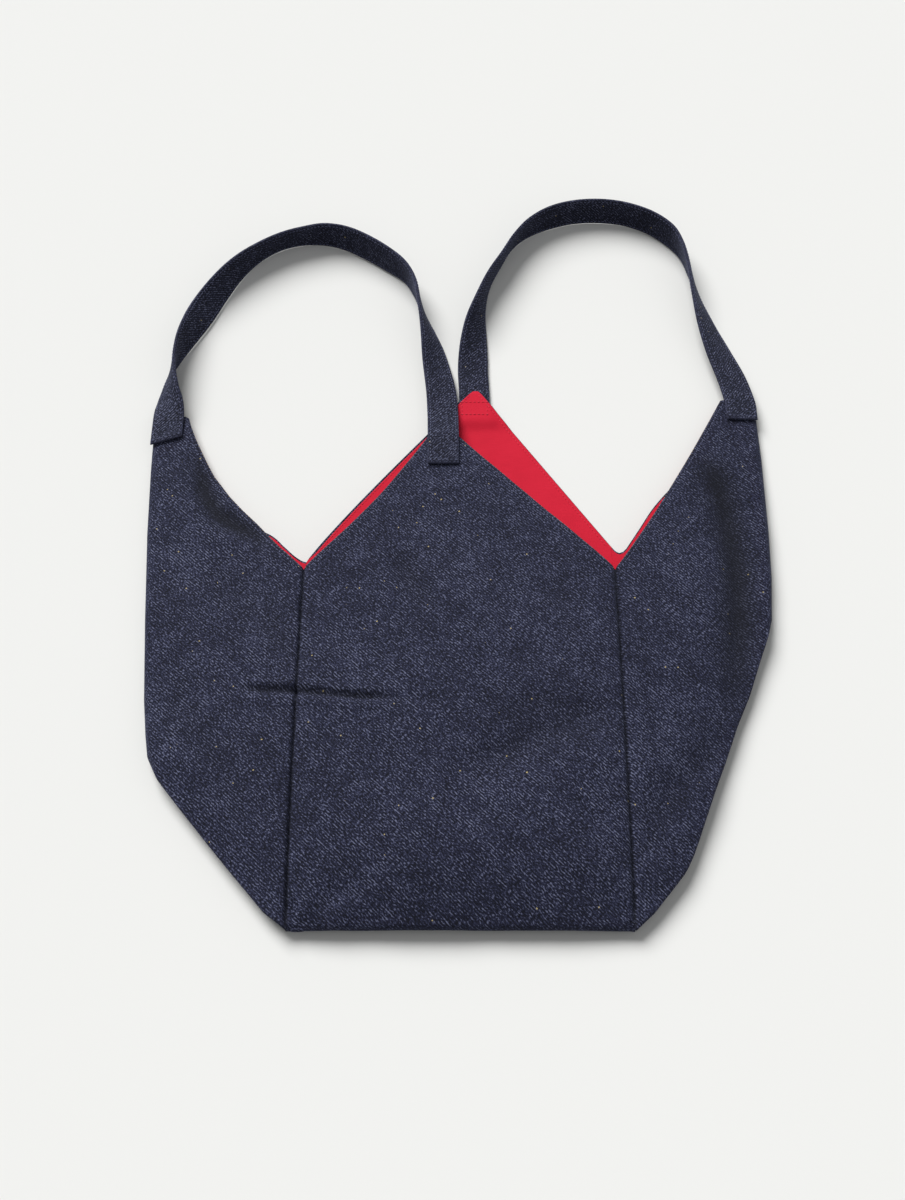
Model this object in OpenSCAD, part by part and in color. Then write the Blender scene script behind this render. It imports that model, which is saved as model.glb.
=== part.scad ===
// Trapeze bag in denim with a plain cotton lining, lying flat on its back.
// X runs to the right, Y from the base to the tips and +Z up, with the underside at z = 0.
// The origin is on the underside, on the bag's centre line, half way up the front seams.

/* [Panels] */
// Width of the front, the back and the base
panel_w = 240; // [200:5:300]
// Length of the side seams, from the base to the notch between two panels
seam_h = 282; // [240:2:330]
// Depth of the base from front to back
base_depth = 212; // [170:2:224]
// Rise of the front panel's tip above the notches
front_tip_rise = 127; // [100:1:150]
// Rise of the back panel's tip above the notches
back_tip_rise = 150; // [120:1:165]
// Width of the back panel's tip
back_tip_w = 8; // [4:1:20]
// Rise of the left side panel's tip above the notches
left_tip_rise = 150; // [130:1:180]
// Rise of the right side panel's tip above the notches
right_tip_rise = 167; // [140:1:190]

/* [Cloth] */
// Thickness of the denim
denim_t = 1.2; // [0.8:0.1:1.6]
// Thickness of the lining
lining_t = 0.5; // [0.3:0.05:0.8]
// Air between two layers of cloth
cloth_gap = 0.3; // [0.2:0.05:0.5]
// Gap between two panels at their seam
seam_gap = 0.6; // [0.4:0.1:1]

/* [How it lies] */
// Height of the front at its crown
crown_h = 30; // [22:1:40]
// Height of the folded edge at the base
bottom_h = 12; // [11:0.5:16]
// Height of the folded edge at the side tips
tip_h = 7; // [6:0.5:10]
// How far the back layer lies beyond the front layer at the left seam
back_shift_left = 15; // [8:1:30]
// How far the back layer lies beyond the front layer at the right seam
back_shift_right = 29; // [10:1:40]
// How much of the side linings shows beyond the upper rim
rim_show = 4; // [0:0.5:8]
// How far the lower rim of a side lies back under the upper one
rim_tuck = 8; // [0:1:15]
// How far each middle tip leans from the centre line
tip_drift = 12.9; // [12.8:0.1:20]
// Radius of the outer folds
fold_r = 4; // [3.5:0.5:6]
// Mouth of the groove where the base is tucked in
groove_w = 2; // [1:0.5:3]
// Reach of the left fold beyond the seam, where the tuck ends
left_reach_low = 106; // [90:1:130]
// Reach of the left fold beyond the seam, at the tip
left_reach_top = 131; // [110:1:140]
// Height of the left tuck above the base
left_tuck_h = 121; // [100:1:140]
// Reach of the right fold beyond the seam, at the knee of the tuck
right_reach_knee = 38; // [30:1:50]
// Height of the knee of the right tuck above the base
right_knee_h = 41; // [30:1:60]
// Reach of the right fold beyond the seam, where the tuck ends
right_reach_low = 119; // [95:1:130]
// Height of the right tuck above the base
right_tuck_h = 238; // [200:1:260]
// Reach of the right fold beyond the seam, at the tip
right_reach_top = 125; // [110:1:140]

/* [Straps] */
// Width of the straps
strap_w = 25; // [20:0.5:25.5]
// Thickness of the straps
strap_t = 3; // [2:0.2:4]
// Length of strap that is sewn onto a tip
strap_lap = 28; // [20:1:40]
// Reach of the left loop beyond its fold
left_loop_reach = 195; // [150:1:260]
// Reach of the right loop beyond its fold
right_loop_reach = 201; // [150:1:260]
// Roundness of the loops, where 2 is an ellipse
loop_power = 2.25; // [2:0.05:2.6]

/* [Stitching] */
// Width of a line of thread
thread_w = 0.8; // [0.5:0.1:1.2]
// Height of a line of thread
thread_h = 0.35; // [0.2:0.05:0.5]
// Distance of the rim stitching from the edge
rim_inset = 2.5; // [1.5:0.5:4]
// Distance of the box stitching from the strap's edge
box_inset = 2.2; // [1.5:0.1:4]
// Distance of the box stitching from the strap's end and from the tip
box_margin = 4; // [3:0.5:8]

/* [Hidden] */

denim = "#2a2c44";
denim_dark = "#23253a";
lining_red = "#d3153a";
navy = "#1b1d33";

// Levels of the cloth, measured inward from the outer face of the denim
lining_in = denim_t + cloth_gap;
lining_top = lining_in + lining_t;

half_w = panel_w / 2;
base_y = -seam_h / 2;
notch_y = seam_h / 2;
front_tip_y = notch_y + front_tip_rise;
back_tip_y = notch_y + back_shift_right + back_tip_rise;
mean_shift = (back_shift_left + back_shift_right) / 2;
crease_y = base_y + (base_depth + mean_shift) / 2;
mid_z = bottom_h / 2;
seam_x = half_w - seam_gap / 2;
side_seam_x = half_w + seam_gap / 2;
// Half the slit that the crease of a tuck leaves
crease_slit = 0.1;

// A side of the bag: [direction in x, tip y, points of its fold as [y, reach],
// index in those points where the tuck ends, power of its V edge, shift of the back layer]
left_side = [-1, notch_y + left_tip_rise, [
  [base_y, 0],
  [base_y + left_tuck_h, left_reach_low],
  [notch_y + left_tip_rise, left_reach_top]
], 1, 1.38, back_shift_left];
right_side = [1, notch_y + right_tip_rise, [
  [base_y, 0],
  [base_y + right_knee_h, right_reach_knee],
  [base_y + right_tuck_h, right_reach_low],
  [notch_y + right_tip_rise, right_reach_top]
], 2, 1.1, back_shift_right];

function clamp01(t) = min(1, max(0, t));
function ease(t) = let (c = clamp01(t)) c * c * (3 - 2 * c);
function mix(a, b, t) = a + (b - a) * t;
function swapped(points) = [for (p = points) [p[1], p[0]]];

function tip_y(side) = side[1];
function tuck_end(side) = side[2][side[3]];
function reach(side, y) = lookup(y, side[2]);
function side_at(x) = x < 0 ? left_side : right_side;

// Height of the folded edge, which thins towards the side tips
function edge_h(y) = mix(bottom_h, tip_h, clamp01(y / tip_y(right_side)));

// Height of the outer face of the upper layer
crown_power = 2.2;
crown_start = 70;
crown_end = 20;
tip_sink = 0.72;
function across(x, y) =
  1 - pow(min(1, abs(x) / (half_w + reach(side_at(x), y))), crown_power);
function along(y) =
  let (low = 1 - clamp01((y - base_y) / crown_start))
  (1 - low * low) * (1 - tip_sink * ease((y - crown_end) / (front_tip_y - crown_end)));
function top_z(x, y) = edge_h(y) + (crown_h - edge_h(y)) * across(x, y) * along(y);

// A sheet with a thickness, from two grids of points. Where fold_row is 0 or more, the last
// column is a fold: its rows meet in pairs, and those past fold_row meet in one point.
function fold_id(r, rows, fold_row) =
  r <= fold_row ? r : r >= rows - 1 - fold_row ? rows - 1 - r : fold_row;
function grid_id(r, c, rows, cols, fold_row) =
  fold_row >= 0 && c == cols - 1 ? fold_id(r, rows, fold_row) * cols + c : r * cols + c;
function real_face(f) = f[0] != f[1] && f[1] != f[2] && f[0] != f[2];
function halves(q) = [[q[0], q[1], q[2]], [q[0], q[2], q[3]]];
function turned(f, flip) = flip ? [f[2], f[1], f[0]] : f;
function transposed(grid) = [for (r = [0:len(grid[0]) - 1]) [for (column = grid) column[r]]];

module sheet(outer, inner, flip = false, fold_row = -1) {
  rows = len(outer);
  cols = len(outer[0]);
  count = rows * cols;
  id = function (r, c) grid_id(r, c, rows, cols, fold_row);
  skins = [
    for (r = [0:rows - 2]) for (c = [0:cols - 2])
      let (q = [id(r, c), id(r + 1, c), id(r + 1, c + 1), id(r, c + 1)])
      each [q, [q[0] + count, q[3] + count, q[2] + count, q[1] + count]]
  ];
  ends = [
    for (c = [0:cols - 2])
      each [
        [id(0, c), id(0, c + 1), id(0, c + 1) + count, id(0, c) + count],
        [id(rows - 1, c + 1), id(rows - 1, c), id(rows - 1, c) + count, id(rows - 1, c + 1) + count]
      ]
  ];
  first_side = [
    for (r = [0:rows - 2])
      [id(r + 1, 0), id(r, 0), id(r, 0) + count, id(r + 1, 0) + count]
  ];
  last_side = fold_row >= 0 ? [] : [
    for (r = [0:rows - 2])
      [id(r, cols - 1), id(r + 1, cols - 1), id(r + 1, cols - 1) + count, id(r, cols - 1) + count]
  ];
  quads = concat(skins, ends, first_side, last_side);
  faces = [for (q = quads) for (f = halves(q)) if (real_face(f)) turned(f, flip)];
  polyhedron(points = [for (grid = [outer, inner]) for (row = grid) each row], faces = faces);
}

// A sheet that follows the top of the bag between two levels over a grid of [x, y] places
module top_sheet(places, high, low, flip = false) {
  sheet(
    [for (row = places) [for (p = row) [p[0], p[1], top_z(p[0], p[1]) + high]]],
    [for (row = places) [for (p = row) [p[0], p[1], top_z(p[0], p[1]) + low]]],
    flip
  );
}

// Front panel and its lining: a rectangle with a blunt tip as wide as the strap
front_cols = 16;
front_rows = 12;
tip_rows = 7;
front_tip_x = -tip_drift;
back_tip_x = tip_drift;
function house_edge(y, side_x, low_y, high_y, tip_x) =
  mix(side_x, tip_x, clamp01((y - low_y) / (high_y - low_y)));
function front_left_x(y) = house_edge(y, -seam_x, notch_y, front_tip_y, front_tip_x - strap_w / 2);
function front_right_x(y) = house_edge(y, seam_x, notch_y, front_tip_y, front_tip_x + strap_w / 2);
function front_places(level) = [
  for (y = concat(
    [base_y + level],
    [for (i = [1:front_rows]) mix(base_y, notch_y, i / front_rows)],
    [for (i = [1:tip_rows]) mix(notch_y, front_tip_y, i / tip_rows)]
  ))
    [for (i = [0:front_cols]) [mix(front_left_x(y), front_right_x(y), i / front_cols), y]]
];

module front_panel() {
  color(denim) top_sheet(front_places(0), 0, -denim_t);
}

module front_lining() {
  color(lining_red) top_sheet(front_places(lining_in), -lining_in, -lining_top);
}

// Outline of the back panel
module back_outline(inset) {
  polygon([
    [-seam_x, base_y + back_shift_left + inset],
    [seam_x, base_y + back_shift_right + inset],
    [seam_x, notch_y + back_shift_right],
    [back_tip_x + back_tip_w / 2, back_tip_y],
    [back_tip_x - back_tip_w / 2, back_tip_y],
    [-seam_x, notch_y + back_shift_left]
  ]);
}

// The back lies flat, and its tip rides up over the strap that is sewn under it
ramp_l = 12;
lap_y = back_tip_y - strap_lap - cloth_gap;
module back_layer(low, high) {
  intersection() {
    linear_extrude(bottom_h) back_outline(low);
    rotate([90, 0, 90]) translate([0, 0, -half_w]) linear_extrude(panel_w) polygon([
      [base_y, low],
      [lap_y - ramp_l, low],
      [lap_y, low + strap_t],
      [back_tip_y, low + strap_t],
      [back_tip_y, high + strap_t],
      [lap_y, high + strap_t],
      [lap_y - ramp_l, high],
      [base_y, high]
    ]);
  }
}

module back_panel() {
  color(denim_dark) back_layer(0, denim_t);
}

module back_lining() {
  color(lining_red) back_layer(lining_in, lining_top);
}

// The base is folded inward, with its crease between the front and the back
module base_layer(low, high) {
  function tuck(x, shift, level) = [
    [x, base_y + level, bottom_h - high - cloth_gap],
    [x, base_y + level, mid_z + groove_w / 2 + level],
    [x, crease_y + level, mid_z + crease_slit + level],
    [x, crease_y + level, mid_z - crease_slit - level],
    [x, base_y + shift + level, mid_z - groove_w / 2 - level],
    [x, base_y + shift + level, high]
  ];
  function skin(level) = transposed([
    tuck(-seam_x, back_shift_left, level),
    tuck(seam_x, back_shift_right, level)
  ]);
  sheet(skin(low), skin(high), true);
}

module base_panel() {
  color(denim_dark) base_layer(0, denim_t);
}

module base_lining() {
  color(lining_red) base_layer(lining_in, lining_top);
}

// Side panels: one sheet that runs from the front seam over the outer fold to the back seam,
// with its lower corner tucked in along a slanted fold as on a paper bag.
// A place on a side is u, from the seam to the fold, and turn, the angle round the fold.
side_cols = 9;
turn_cols = 4;
side_rows = 12;
columns = concat(
  [for (i = [0:side_cols]) [i / side_cols, 0]],
  [for (i = [1:turn_cols]) [1, 90 * i / turn_cols]]
);
function tip_u(side) = 1 - strap_w / reach(side, tip_y(side));
function side_reach(side, y) = reach(side, max(y, tuck_end(side)[0]));
function low_fold_y(side, u) = lookup(u * tuck_end(side)[1], swapped(side[2]));
function under_fold_y(side, u) =
  let (end_y = tuck_end(side)[0])
  mix(base_y + side[5], end_y, (low_fold_y(side, u) - base_y) / (end_y - base_y));
function tuck_y(side, u) = mix(crease_y, tuck_end(side)[0], u);
function upper_rim_y(side, u) = mix(notch_y, tip_y(side), pow(min(1, u / tip_u(side)), side[4]));
rim_show_end = 0.1;
rim_tuck_start = 0.3;
rim_tuck_full = 0.5;
function lower_rim_y(side, u) =
  let (
    notch = 1 - min(1, u / rim_show_end),
    shown = 1 - ease((u - rim_tuck_start) / (rim_tuck_full - rim_tuck_start)),
    hidden = sin(180 * clamp01((u - rim_tuck_start) / (1 - rim_tuck_start)))
  )
  upper_rim_y(side, u) + (side[5] - rim_show) * notch * notch + rim_show * shown
  - rim_tuck * hidden;

function side_x(side, u, turn, y, level) =
  side[0] * (side_seam_x + u * (side_reach(side, y) - fold_r) + (fold_r - level) * sin(turn));
function upper_point(side, u, turn, y, level) =
  let (x = side_x(side, u, turn, y, level), mid = edge_h(y) / 2)
  [x, y, mid + (top_z(x, y) - level - mid) * cos(turn)];
function lower_point(side, u, turn, y, level) =
  let (mid = edge_h(y) / 2)
  [side_x(side, u, turn, y, level), y, mid - (mid - level) * cos(turn)];
function tuck_point(side, u, turn, y, rise, level) =
  let (mid = edge_h(y) / 2)
  [side_x(side, u, turn, y, level), y, mid + rise * cos(turn)];

function side_column(side, u, turn, level) =
  let (
    fold_y = low_fold_y(side, u),
    under_y = under_fold_y(side, u),
    inner_y = tuck_y(side, u) + level,
    groove = groove_w / 2 * (1 - u) + crease_slit + level
  )
  concat(
    [for (i = [0:side_rows - 1])
      upper_point(side, u, turn, mix(upper_rim_y(side, u), fold_y, i / side_rows), level)],
    [
      upper_point(side, u, turn, fold_y + level, level),
      tuck_point(side, u, turn, fold_y + level, groove, level),
      tuck_point(side, u, turn, inner_y, crease_slit + level, level),
      tuck_point(side, u, turn, inner_y, -crease_slit - level, level),
      tuck_point(side, u, turn, under_y + level, -groove, level),
      lower_point(side, u, turn, under_y + level, level)
    ],
    [for (i = [1:side_rows])
      lower_point(side, u, turn, mix(under_y, lower_rim_y(side, u), i / side_rows), level)]
  );
function side_grid(side, level) =
  transposed([for (place = columns) side_column(side, place[0], place[1], level)]);

module side_layer(side, low, high) {
  sheet(side_grid(side, low), side_grid(side, high), side[0] > 0, side_rows);
}

module left_side_panel() {
  color(denim) side_layer(left_side, 0, denim_t);
}

module right_side_panel() {
  color(denim) side_layer(right_side, 0, denim_t);
}

module left_side_lining() {
  color(lining_red) side_layer(left_side, lining_in, lining_top);
}

module right_side_lining() {
  color(lining_red) side_layer(right_side, lining_in, lining_top);
}

// Strap ends: sewn flat onto the outer face of a tip
end_rows = 5;
function side_tip_x(side) = side[0] * (side_seam_x + reach(side, tip_y(side)) - strap_w / 2);
function strip_places(x, width, from_y, to_y, rows) = [
  for (i = [0:rows]) [
    [x - width / 2, mix(from_y, to_y, i / rows)],
    [x + width / 2, mix(from_y, to_y, i / rows)]
  ]
];
strap_low = cloth_gap;
strap_high = cloth_gap + strap_t;
left_fold_y = tip_y(left_side) + cloth_gap;
right_fold_y = tip_y(right_side) + cloth_gap;
back_fold_y = back_tip_y + cloth_gap;
left_foot_z = top_z(side_tip_x(left_side), tip_y(left_side)) + strap_low;
right_foot_z = top_z(side_tip_x(right_side), tip_y(right_side)) + strap_low;

// The front end runs on past the tip and comes down to the level of the left fold
module left_strap_front_end() {
  lap = strip_places(front_tip_x, strap_w, front_tip_y - strap_lap, front_tip_y, end_rows);
  fold = [
    for (side_x = [-strap_w / 2, strap_w / 2])
      [front_tip_x + side_x, left_fold_y - cloth_gap / 2, left_foot_z]
  ];
  function level(row, up) = [for (p = row) [p[0], p[1], top_z(p[0], p[1]) + up]];
  color(denim) sheet(
    concat([for (row = lap) level(row, strap_high)], [[for (p = fold) p + [0, 0, strap_t]]]),
    concat([for (row = lap) level(row, strap_low)], [fold])
  );
}

module side_strap_end(side) {
  top_sheet(
    strip_places(side_tip_x(side), strap_w, tip_y(side) - strap_lap, tip_y(side), end_rows),
    strap_high, strap_low
  );
}

module left_strap_side_end() {
  color(denim) side_strap_end(left_side);
}

module right_strap_side_end() {
  color(denim) side_strap_end(right_side);
}

// The back end lies under the back panel's tip
module right_strap_back_end() {
  color(denim) translate([back_tip_x - strap_w / 2, back_tip_y - strap_lap, 0])
    cube([strap_w, strap_lap, strap_t - cloth_gap / 2]);
}

// Strap loops: a flat band that twists onto its edge between its two feet.
// Each loop has the [start, end] angles of the twist at its two feet, and the roll at each foot.
left_twist = [[12, 35], [2, 16]];
left_rolls = [0, 0];
right_twist = [[9, 34], [12, 29]];
right_rolls = [180, 0];
loop_rings = 44;
function power_of(t) = sign(t) * pow(abs(t), 2 / loop_power);
function loop_place(foot_a, foot_b, reach_y, angle) = [
  mix(foot_a[0], foot_b[0], (1 - power_of(cos(angle))) / 2),
  mix(foot_a[1], foot_b[1], angle / 180) + reach_y * power_of(sin(angle))
];
function twist(angle, ends) =
  ease((angle - ends[0][0]) / (ends[0][1] - ends[0][0]))
  * ease((180 - angle - ends[1][0]) / (ends[1][1] - ends[1][0]));
function unit(v) = v / norm(v);

module strap_loop(foot_a, foot_b, reach_y, inward, ends, rolls) {
  step = 180 / loop_rings;
  function ring(i) =
    let (
      angle = i * step,
      here = loop_place(foot_a, foot_b, reach_y, angle),
      ahead = loop_place(foot_a, foot_b, reach_y, min(180, angle + 0.5)),
      behind = loop_place(foot_a, foot_b, reach_y, max(0, angle - 0.5)),
      way = i == 0 || i == loop_rings ? [0, i == 0 ? 1 : -1] : unit(ahead - behind),
      inside = inward * [-way[1], way[0]],
      half_roll = 90 * twist(angle, ends),
      roll = angle < 90 ? mix(rolls[0], 90, half_roll / 90) : mix(rolls[1], 90, half_roll / 90),
      wide = [inside[0] * cos(roll), inside[1] * cos(roll), sin(roll)] * strap_w / 2,
      thick = cross([way[0], way[1], 0], wide) / (strap_w / 2) * strap_t / 2,
      lift = angle < 90
        ? foot_a[2] * (1 - ease(angle / ends[0][1]))
        : foot_b[2] * (1 - ease((180 - angle) / ends[1][1])),
      z = lift + abs(wide[2]) + abs(thick[2]),
      centre = [here[0], here[1], z]
    )
    [centre + wide + thick, centre - wide + thick, centre - wide - thick, centre + wide - thick];
  points = [for (i = [0:loop_rings]) each ring(i)];
  last = loop_rings * 4;
  quads = concat(
    [for (i = [0:loop_rings - 1]) for (k = [0:3])
      let (a = i * 4 + k, b = i * 4 + (k + 1) % 4)
      [a, b, b + 4, a + 4]],
    [[3, 2, 1, 0], [last, last + 1, last + 2, last + 3]]
  );
  polyhedron(points = points, faces = [for (q = quads) each halves(q)]);
}

foot_gap = cloth_gap / 2;
module left_strap_loop() {
  color(denim) strap_loop(
    [front_tip_x, left_fold_y + foot_gap, left_foot_z],
    [side_tip_x(left_side), left_fold_y + foot_gap, left_foot_z],
    left_loop_reach, 1, left_twist, left_rolls
  );
}

module right_strap_loop() {
  color(denim) strap_loop(
    [back_tip_x, back_fold_y + foot_gap, 0],
    [side_tip_x(right_side), right_fold_y + foot_gap, right_foot_z],
    right_loop_reach, -1, right_twist, right_rolls
  );
}

// Box stitching: two lines along the strap and two across it
thread_low = 0.25;
corner_gap = 0.3;
module box_lines(x, end_y) {
  near_y = end_y - strap_lap + box_margin;
  far_y = end_y - box_margin;
  line_x = strap_w / 2 - box_inset;
  for (side_x = [-line_x, line_x]) {
    line(x + side_x, thread_w, near_y, far_y) children();
  }
  for (y = [near_y, far_y - thread_w]) {
    line(x, 2 * (line_x - thread_w / 2 - corner_gap), y, y + thread_w) children();
  }
}

module line(x, width, from_y, to_y) {
  base = strap_high + thread_low;
  top_sheet(strip_places(x, width, from_y, to_y, end_rows), base + thread_h, base);
}

module front_box_stitch() {
  color(navy) box_lines(front_tip_x, front_tip_y);
}

module left_box_stitch() {
  color(navy) box_lines(side_tip_x(left_side), tip_y(left_side));
}

module right_box_stitch() {
  color(navy) box_lines(side_tip_x(right_side), tip_y(right_side));
}

// On the back tip the stitching shows on the lining, and ends where the tip gets too narrow
module back_box_stitch() {
  line_x = strap_w / 2 - box_inset;
  steepness = back_tip_rise / (seam_x - back_tip_x - back_tip_w / 2);
  narrowing = line_x + thread_w / 2 + corner_gap - back_tip_w / 2;
  near_y = back_tip_y - strap_lap + box_margin;
  far_y = back_tip_y - max(box_margin, narrowing * steepness);
  color(navy) translate([back_tip_x, 0, lining_top + strap_t]) {
    for (side_x = [-line_x, line_x]) {
      translate([side_x - thread_w / 2, near_y, 0]) cube([thread_w, far_y - near_y, thread_h]);
    }
    for (y = [near_y, far_y - thread_w]) {
      translate([thread_w / 2 + corner_gap - line_x, y, 0])
        cube([2 * (line_x - thread_w / 2 - corner_gap), thread_w, thread_h]);
    }
  }
}

// Rim stitching: a line of thread along each V edge, a little inside it
rim_steps = 14;
rim_from_share = 0.03;
rim_to_share = 0.8;
function rim_line(from, to, to_share) =
  let (
    way = unit(to - from),
    inside = [abs(way[1]), -abs(way[0])],
    side_in = way[0] > 0 ? 1 : -1,
    offset = [side_in * inside[0], inside[1]]
  )
  [for (i = [0:rim_steps])
    let (p = mix(from, to, mix(rim_from_share, to_share, i / rim_steps)))
    [for (d = way[0] > 0 ? [0, 1] : [1, 0]) p + offset * (rim_inset + d * thread_w)]];

module front_rim_stitch() {
  tip_half = strap_w / 2;
  color(navy) {
    top_sheet(
      rim_line([-seam_x, notch_y], [front_tip_x - tip_half, front_tip_y], rim_to_share),
      thread_low + thread_h, thread_low
    );
    top_sheet(
      rim_line([seam_x, notch_y], [front_tip_x + tip_half, front_tip_y], rim_to_share),
      thread_low + thread_h, thread_low
    );
  }
}

module back_rim_stitch() {
  tip_half = back_tip_w / 2;
  module flat_line(from, to) {
    to_share = (lap_y - ramp_l - from[1]) / (to[1] - from[1]);
    line = rim_line(from, to, to_share);
    ring = concat([for (row = line) row[0]], [for (i = [rim_steps:-1:0]) line[i][1]]);
    linear_extrude(thread_h) polygon(ring);
  }
  color(navy) translate([0, 0, lining_top]) {
    flat_line([-seam_x, notch_y + back_shift_left], [back_tip_x - tip_half, back_tip_y]);
    flat_line([seam_x, notch_y + back_shift_right], [back_tip_x + tip_half, back_tip_y]);
  }
}

module side_rim_stitch(side) {
  drop = rim_inset * 1.4;
  last_u = tip_u(side) * (1 - strap_lap / (tip_y(side) - notch_y) / side[4]);
  places = [
    for (i = [0:rim_steps])
      let (
        u = mix(rim_from_share, last_u, i / rim_steps),
        rim_y = upper_rim_y(side, u) - drop
      )
      [for (y = [rim_y - thread_w * 1.4, rim_y]) [side_x(side, u, 0, y, 0), y]]
  ];
  top_sheet(places, thread_low + thread_h, thread_low, side[0] > 0);
}

module left_rim_stitch() {
  color(navy) side_rim_stitch(left_side);
}

module right_rim_stitch() {
  color(navy) side_rim_stitch(right_side);
}

// Seam threads: they lie in the seams between the panels
seam_thread_t = seam_gap / 2;
thread_sink = 0.2;
module front_seam_thread(x) {
  top_sheet(
    strip_places(x, seam_thread_t, base_y, notch_y, front_rows),
    -thread_sink, thread_sink - denim_t
  );
}

module back_seam_thread(x, shift) {
  translate([x - seam_thread_t / 2, base_y + shift, thread_sink])
    cube([seam_thread_t, seam_h, denim_t - 2 * thread_sink]);
}

module base_seam_thread(left_y, right_y, z) {
  far = seam_thread_t * 1.5;
  near = seam_thread_t / 2;
  translate([0, 0, z]) linear_extrude(denim_t - 2 * thread_sink) polygon([
    [-seam_x, left_y - far],
    [seam_x, right_y - far],
    [seam_x, right_y - near],
    [-seam_x, left_y - near]
  ]);
}

module front_left_seam_thread() {
  color(navy) front_seam_thread(-half_w);
}

module front_right_seam_thread() {
  color(navy) front_seam_thread(half_w);
}

module back_left_seam_thread() {
  color(navy) back_seam_thread(-half_w, back_shift_left);
}

module back_right_seam_thread() {
  color(navy) back_seam_thread(half_w, back_shift_right);
}

module base_front_seam_thread() {
  color(navy) base_seam_thread(base_y, base_y, bottom_h - 2 * denim_t);
}

module base_back_seam_thread() {
  color(navy) base_seam_thread(
    base_y + back_shift_left, base_y + back_shift_right, thread_sink
  );
}

front_panel();
back_panel();
left_side_panel();
right_side_panel();
base_panel();
front_lining();
back_lining();
left_side_lining();
right_side_lining();
base_lining();
left_strap_loop();
right_strap_loop();
left_strap_front_end();
left_strap_side_end();
right_strap_back_end();
right_strap_side_end();
front_box_stitch();
left_box_stitch();
back_box_stitch();
right_box_stitch();
front_rim_stitch();
left_rim_stitch();
back_rim_stitch();
right_rim_stitch();
front_left_seam_thread();
front_right_seam_thread();
back_left_seam_thread();
back_right_seam_thread();
base_front_seam_thread();
base_back_seam_thread();
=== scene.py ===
import math
import bmesh
import bpy
import numpy as np
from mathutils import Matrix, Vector


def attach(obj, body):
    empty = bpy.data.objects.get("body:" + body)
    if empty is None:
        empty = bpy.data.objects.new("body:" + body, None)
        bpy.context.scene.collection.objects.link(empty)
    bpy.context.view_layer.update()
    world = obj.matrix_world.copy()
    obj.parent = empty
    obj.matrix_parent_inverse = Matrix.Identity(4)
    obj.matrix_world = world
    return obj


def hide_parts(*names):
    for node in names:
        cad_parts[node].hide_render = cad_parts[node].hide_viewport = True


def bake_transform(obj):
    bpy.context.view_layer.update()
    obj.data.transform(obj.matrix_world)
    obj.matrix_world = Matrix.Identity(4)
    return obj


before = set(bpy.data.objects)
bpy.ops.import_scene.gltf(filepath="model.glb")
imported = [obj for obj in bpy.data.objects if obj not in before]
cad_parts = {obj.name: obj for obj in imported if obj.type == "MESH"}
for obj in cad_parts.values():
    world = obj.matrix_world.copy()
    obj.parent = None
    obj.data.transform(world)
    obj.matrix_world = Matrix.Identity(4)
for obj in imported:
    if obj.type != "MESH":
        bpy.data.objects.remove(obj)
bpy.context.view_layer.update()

print("frame loaded")

# How the empty bag lies, in metres: x to the right, y from the base to the tips, z up
bag = {
    "halfWidth": 0.120, "seamX": 0.11985, "sideSeamX": 0.12015,
    "baseY": -0.141, "notchY": 0.141, "frontTipY": 0.268, "backTipY": 0.320,
    "frontTipX": -0.0129, "backTipX": 0.0129, "backTipWidth": 0.008,
    "crownHeight": 0.030, "bottomHeight": 0.012, "tipHeight": 0.007,
    "crownPower": 2.2, "crownStart": 0.070, "crownEnd": 0.020, "tipSink": 0.72,
    "denim": 0.0012, "lining": 0.0005, "layerGap": 0.0003,
    "foldRadius": 0.004, "grooveWidth": 0.002,
    "shiftLeft": 0.015, "shiftRight": 0.029, "creaseY": -0.024,
    "strapWidth": 0.025, "strapThick": 0.003, "strapLap": 0.028,
}
liningIn = bag["denim"] + bag["layerGap"]

# A side of the bag: its V edge as y over shares of its width, its outer fold as y and reach beyond the
# seam, the end of the tuck in its lower part, and the share of its width where the lower layer shows
sides = {
    "left": {
        "sign": -1, "tipY": 0.291, "shift": bag["shiftLeft"],
        "rimShare": [0, 0.03, 0.165, 0.302, 0.410, 0.504, 0.614, 0.678, 0.743, 0.795, 0.809],
        "rimY": [0.141, 0.1442, 0.1610, 0.1815, 0.1960, 0.2100, 0.2310, 0.2478, 0.2660, 0.2835, 0.2910],
        "foldY": [-0.141, -0.129, -0.092, -0.053, -0.030, -0.012, 0.005, 0.034, 0.102, 0.180, 0.240, 0.291],
        "foldReach": [0, 0.0155, 0.0475, 0.0800, 0.0985, 0.1075, 0.1105, 0.1145, 0.1205, 0.1265, 0.1295, 0.1310],
        "tuckY": -0.020, "showEnd": 0.30,
    },
    "right": {
        "sign": 1, "tipY": 0.308, "shift": bag["shiftRight"],
        "rimShare": [0, 0.05, 0.10, 0.20, 0.30, 0.40, 0.50, 0.60, 0.70, 0.800],
        "rimY": [0.141, 0.1489, 0.1579, 0.1773, 0.1977, 0.2189, 0.2406, 0.2627, 0.2852, 0.3080],
        "foldY": [-0.141, -0.129, -0.115, -0.100, -0.086, -0.063, -0.040, -0.015, 0.012, 0.037, 0.063, 0.085,
                  0.101, 0.138, 0.180, 0.250, 0.308],
        "foldReach": [0.001, 0.0140, 0.0256, 0.0378, 0.0450, 0.0540, 0.0630, 0.0735, 0.0840, 0.0955, 0.1050, 0.1135,
                      0.1185, 0.1222, 0.1242, 0.1256, 0.1250],
        "tuckY": 0.097, "showEnd": 0.42,
    },
}


def mix(a, b, t):
    return a + (b - a) * t


def ease(t):
    t = np.clip(t, 0, 1)
    return t * t * (3 - 2 * t)


def stacked(*parts):
    return np.stack(np.broadcast_arrays(*parts), axis=-1)


def bump(distance, width):
    return np.exp(-(distance / width) ** 2)


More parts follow.
